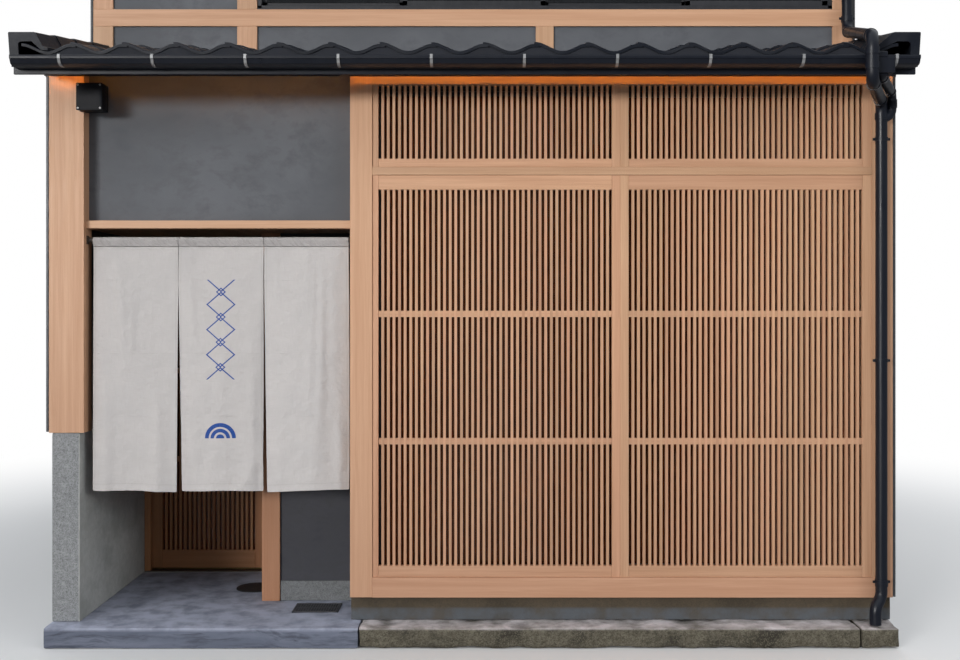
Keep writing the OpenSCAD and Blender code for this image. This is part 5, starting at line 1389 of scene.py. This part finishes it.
# Windows: black aluminium frames with sliding sashes that pass each other; the glass is
# held in their grooves.
black_sash = coated("black_sash", (0.014, 0.015, 0.018), (0.045, 0.047, 0.055), 0.38, 0.3)
sashes = Joinery(73)
BACK_WINDOW = 825
for x0, x1, y0, z0, z1, lights in ((BAY_X0, BAY_X1, 50, SILL_TOP, HEAD_Z, 2),
                                   (-1300, LAST_POST, 690, WINDOW_Z, WINDOW_TOP, 4),
                                   (-BACK_WINDOW, BACK_WINDOW, BACK_Y + 40, 1010, 2110, 2),
                                   (-BACK_WINDOW, BACK_WINDOW, BACK_Y + 40, WINDOW_Z, 4710,
                                    2)):
    sashes.planks((x0, x1, y0, y0 + 70, z0, z0 + 26), (x0, x1, y0, y0 + 70, z1 - 26, z1),
                  (x0, x0 + 26, y0, y0 + 70, z0, z1), (x1 - 26, x1, y0, y0 + 70, z0, z1),
                  chamfer=1.5)
    sashes.plank(x0, x1, y0 - 4 if y0 > 100 else y0, y0 + 12, z0, z0 + 8, chamfer=1)
    for y in (31, 43):
        sashes.plank(x0 + 20, x1 - 20, y0 + y - 1.5, y0 + y + 1.5, z0 + 24, z0 + 34, chamfer=0.5)
    pitch = (x1 - x0 - 50) / lights
    for i in range(lights):
        y = y0 + (10 if i % 2 else 36)
        a, b = x0 + 25 + i * pitch - 8 * bool(i), x0 + 25 + (i + 1) * pitch + 8 * (i < lights - 1)
        sashes.planks((a, b, y + 1, y + 25, z0 + 24, z0 + 58),
                      (a, b, y + 1, y + 25, z1 - 56, z1 - 24),
                      (a, a + 34, y + 1, y + 25, z0 + 24, z1 - 24),
                      (b - 34, b, y + 1, y + 25, z0 + 24, z1 - 24), chamfer=2)
sashes.done("window_frames", black_sash, "black_sash")

# Party walls: timber walls clad outside with dark ribbed steel siding, with folded trims at
# their corners.
siding = coated("siding", (0.045, 0.048, 0.055), (0.10, 0.105, 0.11), 0.42, 0.5, 0.35)


def siding_of_frame(node):
    """The same finish on the frame's own solids, placed by their coordinates."""
    look = siding.copy()
    look.name = "siding_" + node
    tree = look.node_tree
    place = place_of(tree)
    for link in list(tree.links):
        if link.from_node.type == "ATTRIBUTE" and link.from_socket.name == "Vector":
            tree.links.new(place, link.to_socket)
    return look


dress("party_wall_left", siding_of_frame("left"))
dress("party_wall_right", siding_of_frame("right"))
ribs = Joinery(74)
BACK_FACE = BACK_Y + POST
MAIN_RISE, RIDGE_Y, HALF_SPAN = 0.4, 3540, 2860


def main_rise(y):
    """Height that the main roof gains from its wall to a depth, on either side of the ridge."""
    return MAIN_RISE * (HALF_SPAN - abs(y - RIDGE_Y))


def wall_top(y):
    return 3080 + PENT_RISE * y if y < 700 else PLATE_TOP + main_rise(y) + 40


for side in (-1, 1):
    x, foot_front = OUTER * side, 246 if side > 0 else 1140
    y = 8.0
    while y < BACK_FACE - 10:
        foot = foot_front if y < (150 if side > 0 else 1140) else 114
        ribs.plank(*sorted((x, x + 12 * side)), y, y + 34, foot,
                   min(wall_top(y), wall_top(y + 34)), chamfer=5)
        y += 110.2
    for y0, y1, z0, z1 in ((-2, 30, foot_front, 3084),
                           (BACK_FACE - 28, BACK_FACE + 2, 114, wall_top(BACK_FACE) - 20),
                           (676, 704, 3330, wall_top(705) - 10)):
        ribs.plank(*sorted((x, x + 14 * side)), y0, y1, z0, z1, chamfer=1.5)
ribs.done("siding_ribs", siding, "siding")
caps = Joinery(83)
for x0, x1, z0, z1, edge in ((-2303, -2286, 3095, 3101, 1.5), (2262, 2305, 3095, 3101, 1.5),
                             (-2305, -2300, 3062, 3100, 1), (2300, 2305, 3062, 3100, 1)):
    caps.plank(x0, x1, -3, UPPER_Y - 1, z0, z1, turn=tilt(PENT_TILT, 0, EAVE_Z), chamfer=edge)
caps.done("wall_caps", black_sheet, "black_sheet")

# Back: cedar posts and beams, tenoned together, round panels of grey plaster, with a window
# in each storey.
back = Joinery(75)
for x in (-OUTER, -BACK_WINDOW - POST, BACK_WINDOW, LAST_POST):
    for z0, z1 in ((STEP_Z, FLOOR_Z), (FLOOR_TOP, PLATE_Z)):
        back.plank(x, x + POST, BACK_Y, BACK_FACE - 0.5, z0, z1, chamfer=2)
for z0, z1 in ((FLOOR_Z, FLOOR_TOP), (PLATE_Z, PLATE_TOP)):
    back.plank(-OUTER, OUTER, BACK_Y, BACK_FACE, z0, z1, chamfer=2)
for z in (908, 2110, UPPER_SILL_Z, 4710):
    back.plank(-BACK_WINDOW, BACK_WINDOW, BACK_Y, BACK_FACE, z, z + 102, chamfer=2)
back.done("back_frame", cedar, "cedar")
dress("back_wall", plaster)

# Main roof frame: ridge beam and purlins between the party walls, and the rafter ends that
# carry the eaves.
MAIN_TILT = math.atan(MAIN_RISE)
frame_parts = Joinery(76)
frame_parts.plank(-INNER, INNER, RIDGE_Y - 60, RIDGE_Y + 60, 6234, 6388, chamfer=2)


def main_boards(y):
    return 5270 + main_rise(y)


for y in (1713.3, 2626.7):
    for middle in (y, MAIN_BACK - y):
        top = main_boards(y) - 26
        frame_parts.plank(-INNER, INNER, middle - 60, middle + 60, top - 154, top, chamfer=2)
for rear in (None, MAIN_BACK):
    for x in RAFTERS:
        slope_boards(frame_parts, 115, 799, MAIN_TILT, main_boards(115) - 47.5, 43.5, 2000,
                     x - 22.5, x + 22.5, rear)
frame_parts.done("roof_frame", eave_timber, "eave_timber")

# Main roof boards: sheathing laid across the rafters of both slopes, and a fascia clad in
# black sheet under each eave.
deck, fascias = Joinery(77), Joinery(82)
for rear in (None, MAIN_BACK):
    slope_boards(deck, 100, 3533, MAIN_TILT, main_boards(100) + 0.5, 36.5, 185, DECK_X0, 2292, rear)
for y in (100, 6965):
    fascias.plank(DECK_X0, 2292, y, y + 15, main_boards(100) - 74, main_boards(100) + 1, chamfer=2)
deck.done("main_roof_deck", eave_timber, "eave_timber")
fascias.done("main_fascias", black_sheet, "black_sheet")

# Main roof tiles, verges and ridge: fourteen courses a slope; the ridge is built of flat
# tiles bedded in mortar under round caps, closed at each end by a plain end tile.
MAIN_TIP_Z = main_boards(80) + 40
MAIN_LENGTH = (3445 - 80) / math.cos(MAIN_TILT)
main_tiles, main_filler, main_hoods = Joinery(78), Joinery(79), Joinery(80)
for rear in (None, MAIN_BACK):
    slope = Slope(80, MAIN_TIP_Z, MAIN_TILT, rear)
    lay_tiles(main_tiles, slope, MAIN_LENGTH, 14, 10)
    lay_filler(main_filler, slope)
    lay_verges(main_hoods, slope, MAIN_LENGTH, 14, 2304)
main_tiles.done("main_roof_tiles", roof_tile, "roof_tile")
main_filler.done("main_filler", filler, "roof_tile")
main_hoods.done("main_verges", roof_tile, "roof_tile")
ridge = Joinery(81)
TOP = main_boards(RIDGE_Y) + 40
for layer, (low, high, half) in enumerate(((-30, 44, 95), (44, 77, 92), (77, 110, 95),
                                           (110, 143, 84), (143, 176, 86), (176, 204, 78))):
    x = -2318 + 120 * (layer % 2)
    ends = [-2318] + [x + 258 * k for k in range(1, 19) if x + 258 * k < 2290] + [2300]
    for x0, x1 in zip(ends, ends[1:]):
        ridge.plank(x0 + 0.8, x1 - 0.8, RIDGE_Y - half, RIDGE_Y + half, TOP + low + 1, TOP + high,
                    chamfer=4)
for k in range(18):
    x0 = -2314 + 256.3 * k
    for a, b, r in ((x0, x0 + 244, 55), (x0 + 206, x0 + 256, 59)):
        arc = [(RIDGE_Y + r * math.cos(t), TOP + 201 + r * math.sin(t))
               for t in (math.pi * i / 14 for i in range(15))]
        along_front(ridge, a, b, arc, tone=ridge.draw.random())
for x in (-2322, 2284):
    ridge.plank(x, x + 20, RIDGE_Y - 94, RIDGE_Y + 94, TOP - 60, TOP + 204, chamfer=5)
    disc(ridge, (x, RIDGE_Y, TOP + 200), 0, 60, 20, 32, 3)
ridge.done("main_ridge", roof_tile, "roof_tile")
